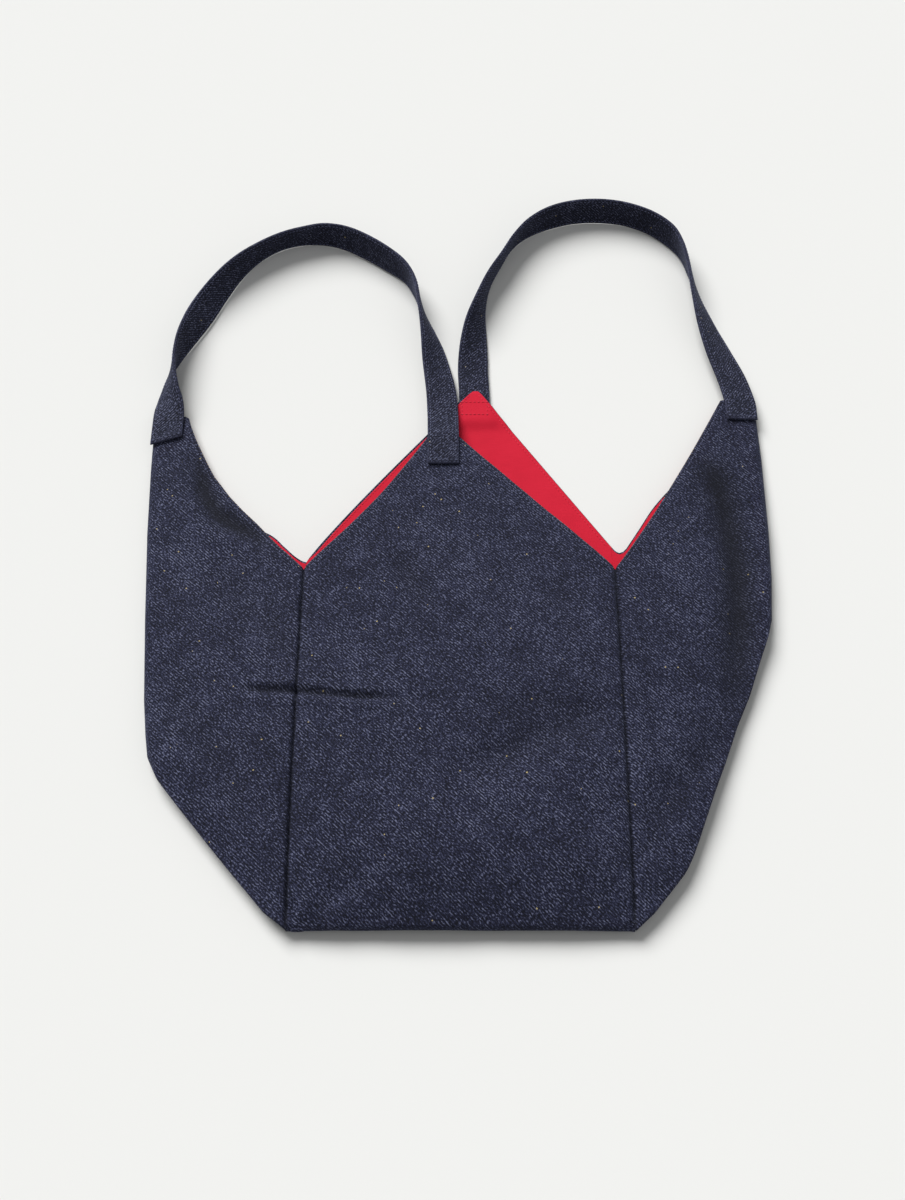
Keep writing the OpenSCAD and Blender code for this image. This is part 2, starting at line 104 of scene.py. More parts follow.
def fadeEnds(share, fades):
    return ease(share / fades[0]) * ease((1 - share) / fades[1])


def unitOf(v):
    return v / max(np.linalg.norm(v), 1e-12)


def unitRows(v):
    return v / np.linalg.norm(v, axis=-1, keepdims=True)


def shiftAt(x):
    # how far the back lies further up than the front, across the bag
    return mix(bag["shiftLeft"], bag["shiftRight"], (x + bag["seamX"]) / (2 * bag["seamX"]))


def reachOf(side, y):
    return np.interp(y, side["foldY"], side["foldReach"])


def edgeHeight(y):
    return mix(bag["bottomHeight"], bag["tipHeight"], np.clip(y / sides["right"]["tipY"], 0, 1))


def crownZ(x, y):
    reach = np.where(x < 0, reachOf(sides["left"], y), reachOf(sides["right"], y))
    across = 1 - np.minimum(1, np.abs(x) / (bag["halfWidth"] + reach)) ** bag["crownPower"]
    low = 1 - np.clip((y - bag["baseY"]) / bag["crownStart"], 0, 1)
    fall = ease((y - bag["crownEnd"]) / (bag["frontTipY"] - bag["crownEnd"]))
    along = (1 - low * low) * (1 - bag["tipSink"] * fall)
    edge = edgeHeight(y)
    return edge + (bag["crownHeight"] - edge) * across * along


# The hem along the mouth: its edge rounds off, and a row of stitches lies in a dent beside it, darkened by painted
# shade
hem = {"stitchIn": 0.0030, "dentWidth": 0.0008, "dentDepth": 0.00022, "dentShade": 0.45,
       "edgeDrop": 0.0006, "edgeSoft": 0.0009, "wornWidth": 0.0011, "threadIn": 0.0002, "threadLift": -0.0001}


def fold(points, depth, width, ridge, fades, skew=0.0, shade=0.0, ridgeSide=0, shadeFades=None):
    # a line of places with its valley's depth and half width, the height of the ridges beside it, the
    # shares of its length in which it fades in and out, and how much painted shade darkens it; a side of 0 is both
    # sides
    return {"points": points, "depth": depth, "width": width, "ridge": ridge, "fades": fades, "skew": skew,
            "shade": shade, "ridgeSide": ridgeSide, "shadeFades": shadeFades or fades}


folds = {
    "frontCrease": fold([(-0.172, 0.0385), (-0.140, 0.0358), (-0.1185, 0.034), (-0.099, 0.0315),
                         (-0.0766, 0.0285), (-0.058, 0.028), (-0.034, 0.0255)],
                        0.0034, 0.0030, 0.0011, (0.20, 0.26), skew=0.25, shade=0.8),
    "creaseTail": fold([(-0.060, 0.028), (-0.030, 0.0245), (0.002, 0.022)], 0.0010, 0.0040, 0.0004, (0.4, 0.6)),
    "softBand": fold([(-0.014, -0.036), (0.030, -0.017), (0.0575, -0.003), (0.095, 0.014), (0.1235, 0.0245)],
                     0.0042, 0.0150, 0.0012, (0.35, 0.30), skew=0.1, shade=0.30),
    "softBandTop": fold([(0.006, 0.006), (0.055, 0.020), (0.100, 0.034)],
                        0.0020, 0.0120, 0.0008, (0.4, 0.4), skew=0.1, shade=0.22),
    "leftValley": fold([(-0.2178, 0.2603), (-0.2090, 0.2385), (-0.2030, 0.2137), (-0.1917, 0.1947),
                        (-0.1761, 0.1825), (-0.1599, 0.1745), (-0.1485, 0.1631), (-0.1365, 0.1462)],
                       0.0034, 0.0085, 0.0020, (0.30, 0.40), shade=1.05, ridgeSide=-1),
    "rightValley": fold([(0.199, 0.262), (0.2100, 0.204), (0.2145, 0.149), (0.212, 0.096), (0.202, 0.029),
                         (0.188, -0.012)],
                        0.0056, 0.0125, 0.0030, (0.34, 0.45), shade=1.05, ridgeSide=1, shadeFades=(0.12, 0.45)),
    "leftSeamShade": fold([(-0.196, 0.158), (-0.160, 0.110), (-0.126, 0.066), (-0.090, 0.066)],
                          0.0018, 0.0130, 0.0005, (0.3, 0.4), shade=0.22),
    "leftLowShade": fold([(-0.235, 0.060), (-0.200, 0.020), (-0.165, -0.030), (-0.140, -0.070)],
                         0.0018, 0.0140, 0.0008, (0.3, 0.4), shade=0.18),
    "rightLowPull": fold([(0.205, 0.010), (0.170, -0.020), (0.140, -0.060), (0.126, -0.105)],
                         0.0020, 0.0110, 0.0009, (0.3, 0.4), shade=0.22),
    "topPullLeft": fold([(-0.056, 0.165), (-0.040, 0.135), (-0.022, 0.093)],
                        0.0024, 0.0100, 0.0010, (0.4, 0.4), shade=0.35),
    "topPullRight": fold([(0.060, 0.150), (0.075, 0.110), (0.080, 0.070)],
                         0.0014, 0.0110, 0.0006, (0.4, 0.4), shade=0.15),
    "cornerDent": fold([(-0.1175, -0.118), (-0.1150, -0.134), (-0.1085, -0.141)],
                       0.0026, 0.0045, 0.0016, (0.35, 0.15)),
    "cornerPull": fold([(-0.106, -0.134), (-0.085, -0.118), (-0.060, -0.108)],
                       0.0009, 0.0060, 0.0006, (0.3, 0.6)),
    "rightCornerPull": fold([(0.116, -0.136), (0.100, -0.118), (0.072, -0.108)],
                            0.0009, 0.0070, 0.0005, (0.3, 0.6)),
}
ridgePlace, ridgeSpread = 2.1, 1.1  # in half widths of the valley
# The two front seams: a narrow valley in a soft one, puckered, and shallower at the bottom edge; painted shade darkens
# the line of the seam
seam = {"dip": 0.0030, "width": 0.0014, "softDip": 0.0010, "softWidth": 0.0055, "end": 0.012, "bottomShare": 0.3,
        "bottomStart": 0.003, "bottomEnd": 0.018, "pucker": 0.00030, "puckerWidth": 0.006, "pitch": 0.0085,
        "drift": 3, "driftRate": 61, "shadeWidth": 0.0011, "shadeEnd": 0.004}
# Slow waves of the cloth: a height and two rows of x rate, y rate and start
waves = [(0.00060, (43, 29, 1.3), (-21, 37, 0.4)), (0.00035, (118, -64, 0.0), (41, 97, 2.0))]
tipCalm = {"share": 0.75, "startY": 0.250, "length": 0.035}  # the tips are held flat by the straps


def lineDistance(x, y, points):
    # distance to a line of places, the share of its length at the nearest place, and the side, 1 or -1
    steps = np.array(points)
    lengths = np.linalg.norm(np.diff(steps, axis=0), axis=1)
    starts = np.concatenate([[0], np.cumsum(lengths)])
    best = np.full(np.shape(x), 1e9)
    share = np.zeros(np.shape(x))
    above = np.ones(np.shape(x))
    for i in range(len(lengths)):
        way = (steps[i + 1] - steps[i]) / lengths[i]
        t = np.clip((x - steps[i][0]) * way[0] + (y - steps[i][1]) * way[1], 0, lengths[i])
        dx, dy = x - steps[i][0] - t * way[0], y - steps[i][1] - t * way[1]
        gap = np.hypot(dx, dy)
        nearer = gap < best
        share = np.where(nearer, (starts[i] + t) / starts[-1], share)
        above = np.where(nearer, np.sign(way[0] * dy - way[1] * dx + 1e-12), above)
        best = np.minimum(best, gap)
    return best, share, above


def reliefZ(x, y):
    # folds, the seam valleys with their puckers, and a slow unevenness of the cloth
    z = np.zeros(np.shape(x))
    for one in folds.values():
        gap, share, above = lineDistance(x, y, one["points"])
        fade = fadeEnds(share, one["fades"])
        t = gap / (one["width"] * (1 - one["skew"] * above))
        ridge = bump(t - ridgePlace, ridgeSpread) * (above * one["ridgeSide"] >= 0)
        z += fade * (one["ridge"] * ridge - one["depth"] * bump(t, 1))
    d = np.abs(np.abs(x) - bag["halfWidth"])
    low = ease((y - bag["baseY"] - seam["bottomStart"]) / seam["bottomEnd"])
    onSeam = ease((bag["notchY"] + seam["end"] - y) / seam["end"]) * mix(seam["bottomShare"], 1, low)
    turns = 2 * math.pi * y / seam["pitch"] + seam["drift"] * np.sin(y * seam["driftRate"])
    ripple = seam["pucker"] * np.sin(turns) * bump(d, seam["puckerWidth"])
    z += onSeam * (ripple - seam["dip"] * bump(d, seam["width"]) - seam["softDip"] * bump(d, seam["softWidth"]))
    for height, *rows in waves:
        first, second = (np.sin(xRate * x + yRate * y + start) for xRate, yRate, start in rows)
        z += height * first * second
    return z


def paintedGrooveShade(flat, hemDistance):
    # painted shade: the colour is darkened down in the seams, in the folds and in the dent along the hem's line of
    # stitches
    x, y = flat[..., 0], flat[..., 1]
    shade = hem["dentShade"] * bump(hemDistance - hem["stitchIn"], hem["dentWidth"]) * (y > bag["notchY"])
    shade += bump(np.abs(x) - bag["halfWidth"], seam["shadeWidth"]) * (y < bag["notchY"] + seam["shadeEnd"])
    for one in folds.values():
        gap, share, _ = lineDistance(x, y, one["points"])
        shade = np.maximum(shade, one["shade"] * fadeEnds(share, one["shadeFades"]) * bump(gap, one["width"]))
    return shade


def topZ(x, y):
    x, y = np.broadcast_arrays(np.asarray(x, float), np.asarray(y, float))
    calm = 1 - tipCalm["share"] * ease((y - tipCalm["startY"]) / tipCalm["length"])
    return crownZ(x, y) + reliefZ(x, y) * calm


# Socket wrapper, so that shader maths reads as expressions
class Sock:
    def __init__(self, owner, socket):
        self.owner, self.socket = owner, socket

    def join(self, operation, other, swapped=False):
        node = self.owner.tree.nodes.new("ShaderNodeMath")
        node.operation = operation
        for place, value in enumerate((other, self) if swapped else (self, other)):
            if isinstance(value, Sock):
                self.owner.tree.links.new(value.socket, node.inputs[place])
            else:
                node.inputs[place].default_value = value
        return Sock(self.owner, node.outputs[0])

    def __add__(self, other): return self.join("ADD", other)
    def __sub__(self, other): return self.join("SUBTRACT", other)
    def __rsub__(self, other): return self.join("SUBTRACT", other, True)
    def __mul__(self, other): return self.join("MULTIPLY", other)
    def __gt__(self, other): return self.join("GREATER_THAN", other)
    def __lt__(self, other): return self.join("LESS_THAN", other)


class Nodes:
    # the nodes of a material, of the world or of a node group, made by one method
    def __init__(self, owner):
        self.owner = owner
        if hasattr(owner, "use_nodes"):
            owner.use_nodes = True
        self.tree = getattr(owner, "node_tree", owner)
        self.tree.nodes.clear()

    def node(self, kind, settings=None, values=None, out=0):
        made = self.tree.nodes.new(kind)
        for key, value in (settings or {}).items():
            if key == "stops":
                while len(made.color_ramp.elements) > 1:
                    made.color_ramp.elements.remove(made.color_ramp.elements[-1])
                made.color_ramp.elements[0].position, made.color_ramp.elements[0].color = value[0]
                for position, colour in value[1:]:
                    made.color_ramp.elements.new(position).color = colour
            else:
                setattr(made, key, value)
        for key, value in (values or {}).items():
            if isinstance(value, Sock):
                self.tree.links.new(value.socket, made.inputs[key])
            else:
                made.inputs[key].default_value = value
        return Sock(self, made.outputs[out] if made.outputs else None)

    def other(self, sock, out):
        return Sock(self, sock.socket.node.outputs[out])

    def noise(self, place, scale, detail, roughness=0.5):
        return self.node("ShaderNodeTexNoise", None,
                         {"Vector": place, "Scale": scale, "Detail": detail, "Roughness": roughness})

    def place(self, x, y):
        return self.node("ShaderNodeCombineXYZ", None, {0: x, 1: y})

    def clamp(self, value):
        return self.node("ShaderNodeClamp", None, {0: value})

    def blendColours(self, share, first, second):
        return self.node("ShaderNodeMix", {"data_type": "RGBA"}, {0: share, 6: first, 7: second}, out=2)

    def ramp(self, value, stops, look):
        return self.node("ShaderNodeValToRGB", {"stops": [(at, ink(*look[key])) for at, key in stops]}, {0: value})

    def bump(self, height, strength, distance):
        return self.node("ShaderNodeBump", None, {"Height": height, "Strength": strength, "Distance": distance})

    def close(self, surface, fixed):
        shader = self.node("ShaderNodeBsdfPrincipled", None, {**fixed, **surface})
        self.node("ShaderNodeOutputMaterial", None, {"Surface": shader})
        return self.owner


def ink(red, green, blue):
    # an sRGB colour of 0 to 255 as linear light
    def line(v):
        v /= 255
        return v / 12.92 if v <= 0.04045 else ((v + 0.055) / 1.055) ** 2.4
    return (line(red), line(green), line(blue), 1)


def denimFinish(name, look):
    # twill in the piece's own flat coordinates, with slubs, cloudy dye, wear on raised edges, pale flecks and painted
    # shade in seams, folds and the hem's dent
    f = Nodes(bpy.data.materials.new(name))
    flat = f.node("ShaderNodeUVMap", {"uv_map": "flat"})
    turned = f.node("ShaderNodeMapping", None, {"Vector": flat, "Rotation": (0, 0, math.radians(look["angle"]))})
    along = f.node("ShaderNodeSeparateXYZ", None, {0: turned})
    across = f.other(along, 1)
    wobble = f.noise(flat, look["wobbleScale"], 2.0) * look["wobble"]
    wave = f.node("ShaderNodeMath", {"operation": "SINE"}, {0: across * (2 * math.pi / look["wale"]) + wobble})
    twill = wave * 0.5 + 0.5
    streaks = f.noise(f.place(along * look["streakAlong"], across * look["streakAcross"]), 1.0, 3.0, 0.62)
    fine = f.noise(f.place(along * look["fineAlong"], across * look["fineAcross"]), 1.0, 1.0)
    cloud = f.noise(flat, look["cloudScale"], 4.0, 0.6)
    patch = f.noise(flat, look["patchScale"], 2.0)
    lightness = (streaks - 0.5) * look["streakGain"] + (fine - 0.5) * look["fineGain"]
    lightness = lightness + (twill - 0.5) * (patch * look["twillPatch"] + look["twillGain"] / 2)
    lightness = lightness + (cloud - 0.5) * look["cloudGain"] + (patch - 0.5) * look["patchGain"] + 0.5
    dye = f.ramp(lightness, [(0.22, "deep"), (0.50, "mid"), (0.68, "pale"), (0.95, "thread")], look)
    # the wear layer holds the wear in red and painted shade in green
    wearAndPaintedShade = f.node("ShaderNodeSeparateColor", None, {0: f.node("ShaderNodeVertexColor", {"layer_name": "wear"})})
    worn = f.clamp(wearAndPaintedShade * ((fine - 0.35) * 2.2 + 0.25) * look["wear"])
    dye = f.blendColours(worn, dye, ink(*look["worn"]))
    cells = f.node("ShaderNodeTexVoronoi", {"feature": "F1"}, {"Vector": flat, "Scale": look["fleckScale"]})
    pick = f.node("ShaderNodeSeparateColor", None, {0: f.other(cells, "Color")})
    fleck = (cells + (fine - 0.5) * 0.25 < look["fleckSize"]) * (pick > look["fleckRare"])
    dye = f.blendColours(fleck * look["fleckShare"], dye, ink(*look["fleck"]))
    # painted shade: the green channel darkens the colour towards the groove colour in seams, folds and the hem's dent
    dye = f.blendColours(f.other(wearAndPaintedShade, 1) * look["paintedGrooveShade"], dye, ink(*look["groove"]))
    height = twill * 0.55 + fine * 0.5 + streaks * 0.6
    return f.close({"Base Color": dye, "Roughness": lightness * -0.10 + 0.90,
                    "Normal": f.bump(height, look["bump"], 0.0004)},
                   {"Specular IOR Level": 0.18, "Sheen Weight": 0.10, "Sheen Roughness": 0.45,
                    "Sheen Tint": (0.45, 0.50, 0.75, 1)})


def cottonFinish(name, look):
    # plain-woven cotton: fine square weave, a few thicker yarns, soft unevenness of the dye
    f = Nodes(bpy.data.materials.new(name))
    flat = f.node("ShaderNodeUVMap", {"uv_map": "flat"})
    along = f.node("ShaderNodeSeparateXYZ", None, {0: flat})
    across = f.other(along, 1)
    yarns = [f.node("ShaderNodeMath", {"operation": "SINE"}, {0: way * (2 * math.pi / look["yarn"])})
             for way in (along, across)]
    weave = yarns[0] * yarns[1]
    slub = f.noise(f.place(along * look["slubAlong"], across * look["slubAcross"]), 1.0, 2.0)
    cloud = f.noise(flat, look["cloudScale"], 3.0)
    tone = weave * 0.10 + (slub - 0.5) * 0.35 + (cloud - 0.5) * 0.45 + 0.5
    dye = f.ramp(tone, [(0.0, "deep"), (0.5, "mid"), (1.0, "pale")], look)
    return f.close({"Base Color": dye, "Roughness": tone * -0.08 + 0.82,
                    "Normal": f.bump(weave * 0.5 + slub, 0.35, 0.0002)},
                   {"Specular IOR Level": 0.25, "Sheen Weight": 0.06, "Sheen Roughness": 0.4})


def threadFinish(name, colour, lift):
    f = Nodes(bpy.data.materials.new(name))
    lay = f.noise(f.node("ShaderNodeTexCoord", out=3), 900.0, 1.0)
    dye = f.blendColours(f.clamp(lay), ink(*colour), ink(*[c + lift for c in colour]))
    return f.close({"Base Color": dye, "Roughness": lay * 0.2 + 0.45, "Normal": f.bump(lay, 0.3, 0.0001)},
                   {"Specular IOR Level": 0.4})


denimLook = {
    "angle": 43, "wale": 0.0019, "wobbleScale": 190.0, "wobble": 0.7, "twillGain": 0.20, "twillPatch": 0.30,
    "streakAlong": 110.0, "streakAcross": 700.0, "streakGain": 0.80,
    "fineAlong": 520.0, "fineAcross": 1050.0, "fineGain": 1.9,
    "cloudScale": 55.0, "cloudGain": 0.40, "patchScale": 11.0, "patchGain": 0.18, "bump": 0.6,
    "deep": (9, 10, 21), "mid": (26, 28, 46), "pale": (46, 49, 72), "thread": (102, 106, 130),
    # groove is the colour of the painted shade in seams, folds and the hem's dent, blended in at the strength that
    # follows it
    "worn": (78, 80, 106), "wear": 0.35, "groove": (8, 9, 17), "paintedGrooveShade": 0.8,
    "fleck": (186, 170, 124), "fleckScale": 210.0, "fleckSize": 0.12, "fleckRare": 0.955, "fleckShare": 0.8,
}
strapLook = {**denimLook, "angle": 46, "patchGain": 0.2, "wear": 0.45,
             "deep": (9, 10, 19), "mid": (25, 27, 42), "pale": (44, 47, 67)}
cottonLook = {"yarn": 0.0007, "slubAlong": 90, "slubAcross": 1400, "cloudScale": 45.0,
              "deep": (176, 8, 38), "mid": (202, 13, 46), "pale": (214, 24, 56)}
denim, strapDenim = denimFinish("denim", denimLook), denimFinish("strap_denim", strapLook)
redCotton = cottonFinish("red_cotton", cottonLook)
threadLooks = {"navy": ((62, 66, 96), 36), "tan": ((126, 100, 62), 34), "red": ((196, 16, 48), 16)}
threads = {name: threadFinish(name + "_thread", *look) for name, look in threadLooks.items()}
print("finishes made")


def clothMesh(name, outer, inner, flat, wear, finish, mergeFold=-1, edgeSteps=3, shade=None):
    # a closed sheet between two grids with rounded rims; mergeFold joins the rows of the last column in pairs
    rows, cols = outer.shape[:2]
    count = rows * cols
    ids = np.arange(count).reshape(rows, cols)
    if mergeFold >= 0:  # the last column is a fold and no rim
        for r in range(rows):
            ids[r, -1] = ids[min(r, rows - 1 - r, mergeFold), -1]
        loop = ([(0, c) for c in range(cols - 1, -1, -1)] + [(r, 0) for r in range(1, rows)]
                + [(rows - 1, c) for c in range(1, cols)])
    else:
        loop = ([(0, c) for c in range(cols)] + [(r, cols - 1) for r in range(1, rows)]
                + [(rows - 1, c) for c in range(cols - 2, -1, -1)] + [(r, 0) for r in range(rows - 2, 0, -1)])
    skin = stacked(ids[:-1, :-1], ids[1:, :-1], ids[1:, 1:], ids[:-1, 1:]).reshape(-1, 4)
    turns = [math.pi * k / (edgeSteps + 1) for k in range(1, edgeSteps + 1)]
    extra, ring = [], []
    for r, c in loop:
        o, i = outer[r, c], inner[r, c]
        out = np.zeros(3)
        for onRim, within in ((r == 0, (1, c)), (r == rows - 1, (rows - 2, c)),
                              (c == 0, (r, 1)), (c == cols - 1 and mergeFold < 0, (r, cols - 2))):
            if onRim:
                out += unitOf(o - outer[within])
        across = (o - i) / 2
        out -= across * (out @ across) / max(across @ across, 1e-12)
        out = unitOf(out) * np.linalg.norm(across)
        first = 2 * count + len(extra)
        ring.append([ids[r, c], *range(first, first + edgeSteps), ids[r, c] + count])
        extra += [(o + i) / 2 + across * math.cos(turn) + out * math.sin(turn) for turn in turns]
    if mergeFold >= 0:
        ring[-1] = ring[0]  # the rims of both layers meet in the fold
        pairs = zip(ring, ring[1:])
    else:
        pairs = zip(ring[1:] + ring[:1], ring)
    rim = [[one[k], two[k], two[k + 1], one[k + 1]] for one, two in pairs for k in range(edgeSteps + 1)]
    shade = wear * 0 if shade is None else shade
    rimFlats = np.repeat([flat[place] for place in loop], edgeSteps, axis=0)
    return meshPiece(name, np.concatenate([outer.reshape(-1, 3), inner.reshape(-1, 3), extra]),
                     np.concatenate([skin, skin[:, ::-1] + count, rim]),
                     np.concatenate([flat.reshape(-1, 2), flat.reshape(-1, 2), rimFlats]),
                     np.concatenate([wear.reshape(-1), np.zeros(count), np.ones(len(extra))]), finish,
                     np.concatenate([shade.reshape(-1), shade.reshape(-1), np.zeros(len(extra))]))


def addObject(name, data):
    made = bpy.data.objects.new(name, data)
    bpy.context.scene.collection.objects.link(made)
    return made


def meshPiece(name, points, quads, flats, wears, finish, shades):
    # vertices that lie in one place are joined, and faces that fall together are left out
    used, back = np.unique(quads.reshape(-1), return_inverse=True)
    points, flats, wears, shades = points[used], flats[used], wears[used], shades[used]
    quads = back.reshape(quads.shape)
    faces = []
    for q in quads.tolist():
        kept = [q[k] for k in range(4) if q[k] != q[k - 1]]
        if len(kept) >= 3 and len(set(kept)) == len(kept):
            faces.append(kept)
    mesh = bpy.data.meshes.new(name)
    mesh.from_pydata(points.tolist(), [], faces)
    work = bmesh.new()
    work.from_mesh(mesh)
    bmesh.ops.recalc_face_normals(work, faces=work.faces)
    work.to_mesh(mesh)
    work.free()
    uvs = mesh.uv_layers.new(name="flat")
    corners = np.zeros(len(mesh.loops), dtype=np.int64)
    mesh.loops.foreach_get("vertex_index", corners)
    uvs.data.foreach_set("uv", flats[corners].reshape(-1))
    # the wear layer holds the wear in red and painted shade in green
    worn = mesh.color_attributes.new("wear", "FLOAT_COLOR", "POINT")
    wearAndPaintedShade = stacked(np.clip(wears, 0, 1), np.clip(shades, 0, 1), 0.0, 1.0)
    worn.data.foreach_set("color", wearAndPaintedShade.reshape(-1))
    mesh.polygons.foreach_set("use_smooth", [True] * len(mesh.polygons))
    mesh.materials.append(finish)
    return addObject(name, mesh)


def opensWithMouth(piece, part):
    if part == "front":
        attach(piece, "bag_front")
    elif part == "back":
        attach(piece, "bag_back")
    else:
        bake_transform(piece)


def settle(piece, part, node=None):
    # what the frame has to know of a piece: how it moves and the node whose place it takes
    if node:
        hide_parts(node)
    opensWithMouth(piece, part)


def edgeSpread(width, fine, step):
    # distances across a piece: close together at both edges, then even
    near = np.array(fine)
    middle = width - 2 * near[-1]
    count = max(2, int(round(middle / step)))
    return np.concatenate([near, near[-1] + middle * np.arange(1, count) / count, width - near[::-1]])


fineEdge = [0, 0.0003, 0.0007, 0.0012, 0.0018, 0.0025, 0.0034, 0.0046, 0.0062]


# The left V edge of the front sags a little towards the bag, and the panel rolls in at the bottom
front = {"rows": 120, "tipRows": 53, "cols": 0.0024, "sagLeft": 0.0055, "rimSlope": 0.094, "slopeStep": 0.001,
         "roll": 0.0052, "rollStart": 0.75, "rollEnd": 108, "rollRows": 10, "rollWear": 0.55,
         "lowSpread": 2.5, "liningIn": 0.0014, "liningRows": -4}


def frontEdges(y):
    half = bag["strapWidth"] / 2
    share = np.clip((y - bag["notchY"]) / (bag["frontTipY"] - bag["notchY"]), 0, 1)
    left, right = (mix(sign * bag["seamX"], bag["frontTipX"] + sign * half, share) for sign in (-1, 1))
    return left + front["sagLeft"] * np.sin(math.pi * share), right


def frontHemDistance(x, y):
    left, right = frontEdges(y)
    return np.minimum(x - left, right - x) * math.sin(math.atan2(bag["frontTipY"] - bag["notchY"], front["rimSlope"]))


def hemDip(distance):
    dent = hem["dentDepth"] * bump(distance - hem["stitchIn"], hem["dentWidth"])
    return -hem["edgeDrop"] * np.exp(-distance / hem["edgeSoft"]) - dent


def crownSlope(x, y):
    return (crownZ(x, y + front["slopeStep"]) - crownZ(x, y)) / front["slopeStep"]


def frontGrid(inset, level):
    # rows run from the tip to the rolled bottom edge; a level inside is measured along the smooth crown's normal
    startY = bag["baseY"] + front["roll"] * front["rollStart"]
    ys = np.concatenate([np.linspace(bag["baseY"], bag["notchY"], front["rows"])[1:],
                         mix(bag["notchY"], bag["frontTipY"], np.arange(1, front["tipRows"] + 1) / front["tipRows"])])
    ys = ys[ys > startY + 0.0008]
    shares = edgeSpread(2 * bag["seamX"], fineEdge, front["cols"]) / (2 * bag["seamX"])
    grid, flats, wears = [], [], []
    for y in ys[::-1]:
        left, right = frontEdges(y)
        low = 1 + front["lowSpread"] * float(ease((bag["baseY"] + 0.020 - y) / 0.012))
        x = mix(left + inset * low, right - inset * low, shares)
        near = frontHemDistance(x, y)
        z = topZ(x, y) + hemDip(near) * ease((y - bag["notchY"] + 0.004) / 0.01)
        lean = crownSlope(x, y)
        size = np.sqrt(1 + lean * lean)
        grid.append(stacked(x, y + level * lean / size, z - level / size))
        flats.append(stacked(x, y))
        wears.append(np.exp(-near / hem["wornWidth"]) * ease((y - bag["notchY"]) / 0.01))
    left, right = frontEdges(bag["baseY"])
    x = mix(left + inset * (1 + front["lowSpread"]), right - inset * (1 + front["lowSpread"]), shares)
    tilt = np.arctan(crownSlope(x, startY)).clip(0, 0.7)
    radius, inner = front["roll"], front["roll"] - level
    cy, cz = bag["baseY"] + 0.0002 + radius, topZ(x, startY) - radius * np.cos(tilt)
    last = front["rollRows"] - 1
    for k in range(front["rollRows"]):
        turn = mix(tilt, math.radians(front["rollEnd"]), k / last)
        grid.append(stacked(x, cy - inner * np.sin(turn), cz + inner * np.cos(turn)))
        flats.append(stacked(x, startY - radius * (turn - tilt)))
        wears.append(front["rollWear"] * bump(k - last / 2, 2.2) * np.ones_like(x))
    return np.array(grid), np.array(flats), np.array(wears)


def makeFront():
    outer, flats, wears = frontGrid(0, 0)
    shade = paintedGrooveShade(flats, frontHemDistance(flats[..., 0], flats[..., 1]))
    panel = clothMesh("front_panel_cloth", outer, frontGrid(0, bag["denim"])[0], flats, wears, denim, shade=shade)
    settle(panel, "front", "front_panel")
    outer, flats, wears = (part[:front["liningRows"]] for part in frontGrid(front["liningIn"], liningIn))
    inner = frontGrid(front["liningIn"], liningIn + bag["lining"])[0][:front["liningRows"]]
    lining = clothMesh("front_lining_cloth", outer, inner, flats, wears * 0, redCotton, edgeSteps=2)
    settle(lining, "front", "front_lining")


makeFront()
print("front made")

# Side panels: one sheet from the front seam round the outer fold to the back seam, tucked in below
sideSheet = {"upperRows": 150, "rollRows": 7, "leafRows": 8, "turns": 8, "step": 0.0027, "roll": 0.0048,
             "rimTuck": 0.008, "rimShow": 0.0112, "rimSteps": [0, 0.0012, 0.0030, 0.0055, 0.0088, 0.0130],
             "rimSlant": 0.62, "foldWear": 0.30, "rollWear": 0.45, "lowerFlat": 0.9,
             "tightRoll": 0.35, "tightShare": 0.15, "steepest": 1.2, "lowRoll": 0.8, "leastGroove": 0.0003}


def tipShare(side):
    return 1 - bag["strapWidth"] / float(reachOf(side, side["tipY"]))


def upperRimY(side, u):
    return np.interp(u, side["rimShare"], side["rimY"])


def lowerRimY(side, u):
    notch = 1 - np.minimum(1, u / 0.1)
    shown = 1 - ease((u - side["showEnd"] * 0.6) / (side["showEnd"] * 0.4 + 0.08))
    hidden = np.sin(math.pi * np.clip((u - side["showEnd"]) / (1 - side["showEnd"]), 0, 1))
    return (upperRimY(side, u) + (side["shift"] - sideSheet["rimShow"]) * notch * notch
            + sideSheet["rimShow"] * shown - sideSheet["rimTuck"] * hidden)


def foldLineY(side, u, turn):
    # y of the slanted lower fold under a place on the sheet, up to the tuck's end
    tuckReach = float(reachOf(side, side["tuckY"]))
    ys = [y for y in side["foldY"] if y < side["tuckY"]] + [side["tuckY"]]
    out = u * (tuckReach - bag["foldRadius"]) + bag["foldRadius"] * math.sin(turn)
    return np.interp(out, [float(reachOf(side, y)) for y in ys], ys)


def sideX(side, u, turn, y, level=0.0):
    width = reachOf(side, np.maximum(y, side["tuckY"])) - bag["foldRadius"]
    return side["sign"] * (bag["sideSeamX"] + u * width + (bag["foldRadius"] - level) * math.sin(turn))


def sideRimDistance(side, x, y):
    # rough distance from the V edge, across it, and the share of the panel's width
    width = reachOf(side, np.maximum(y, side["tuckY"])) - bag["foldRadius"]
    u = np.clip((np.abs(x) - bag["sideSeamX"]) / np.maximum(width, 1e-4), 0, 1)
    return np.maximum((upperRimY(side, u) - y) * sideSheet["rimSlant"], 0), u


def sideTopZ(side, x, y):
    gap, u = sideRimDistance(side, x, y)
    return topZ(x, y) + hemDip(gap) * ease(u / 0.03) * (1 - ease((u - tipShare(side)) / 0.05))


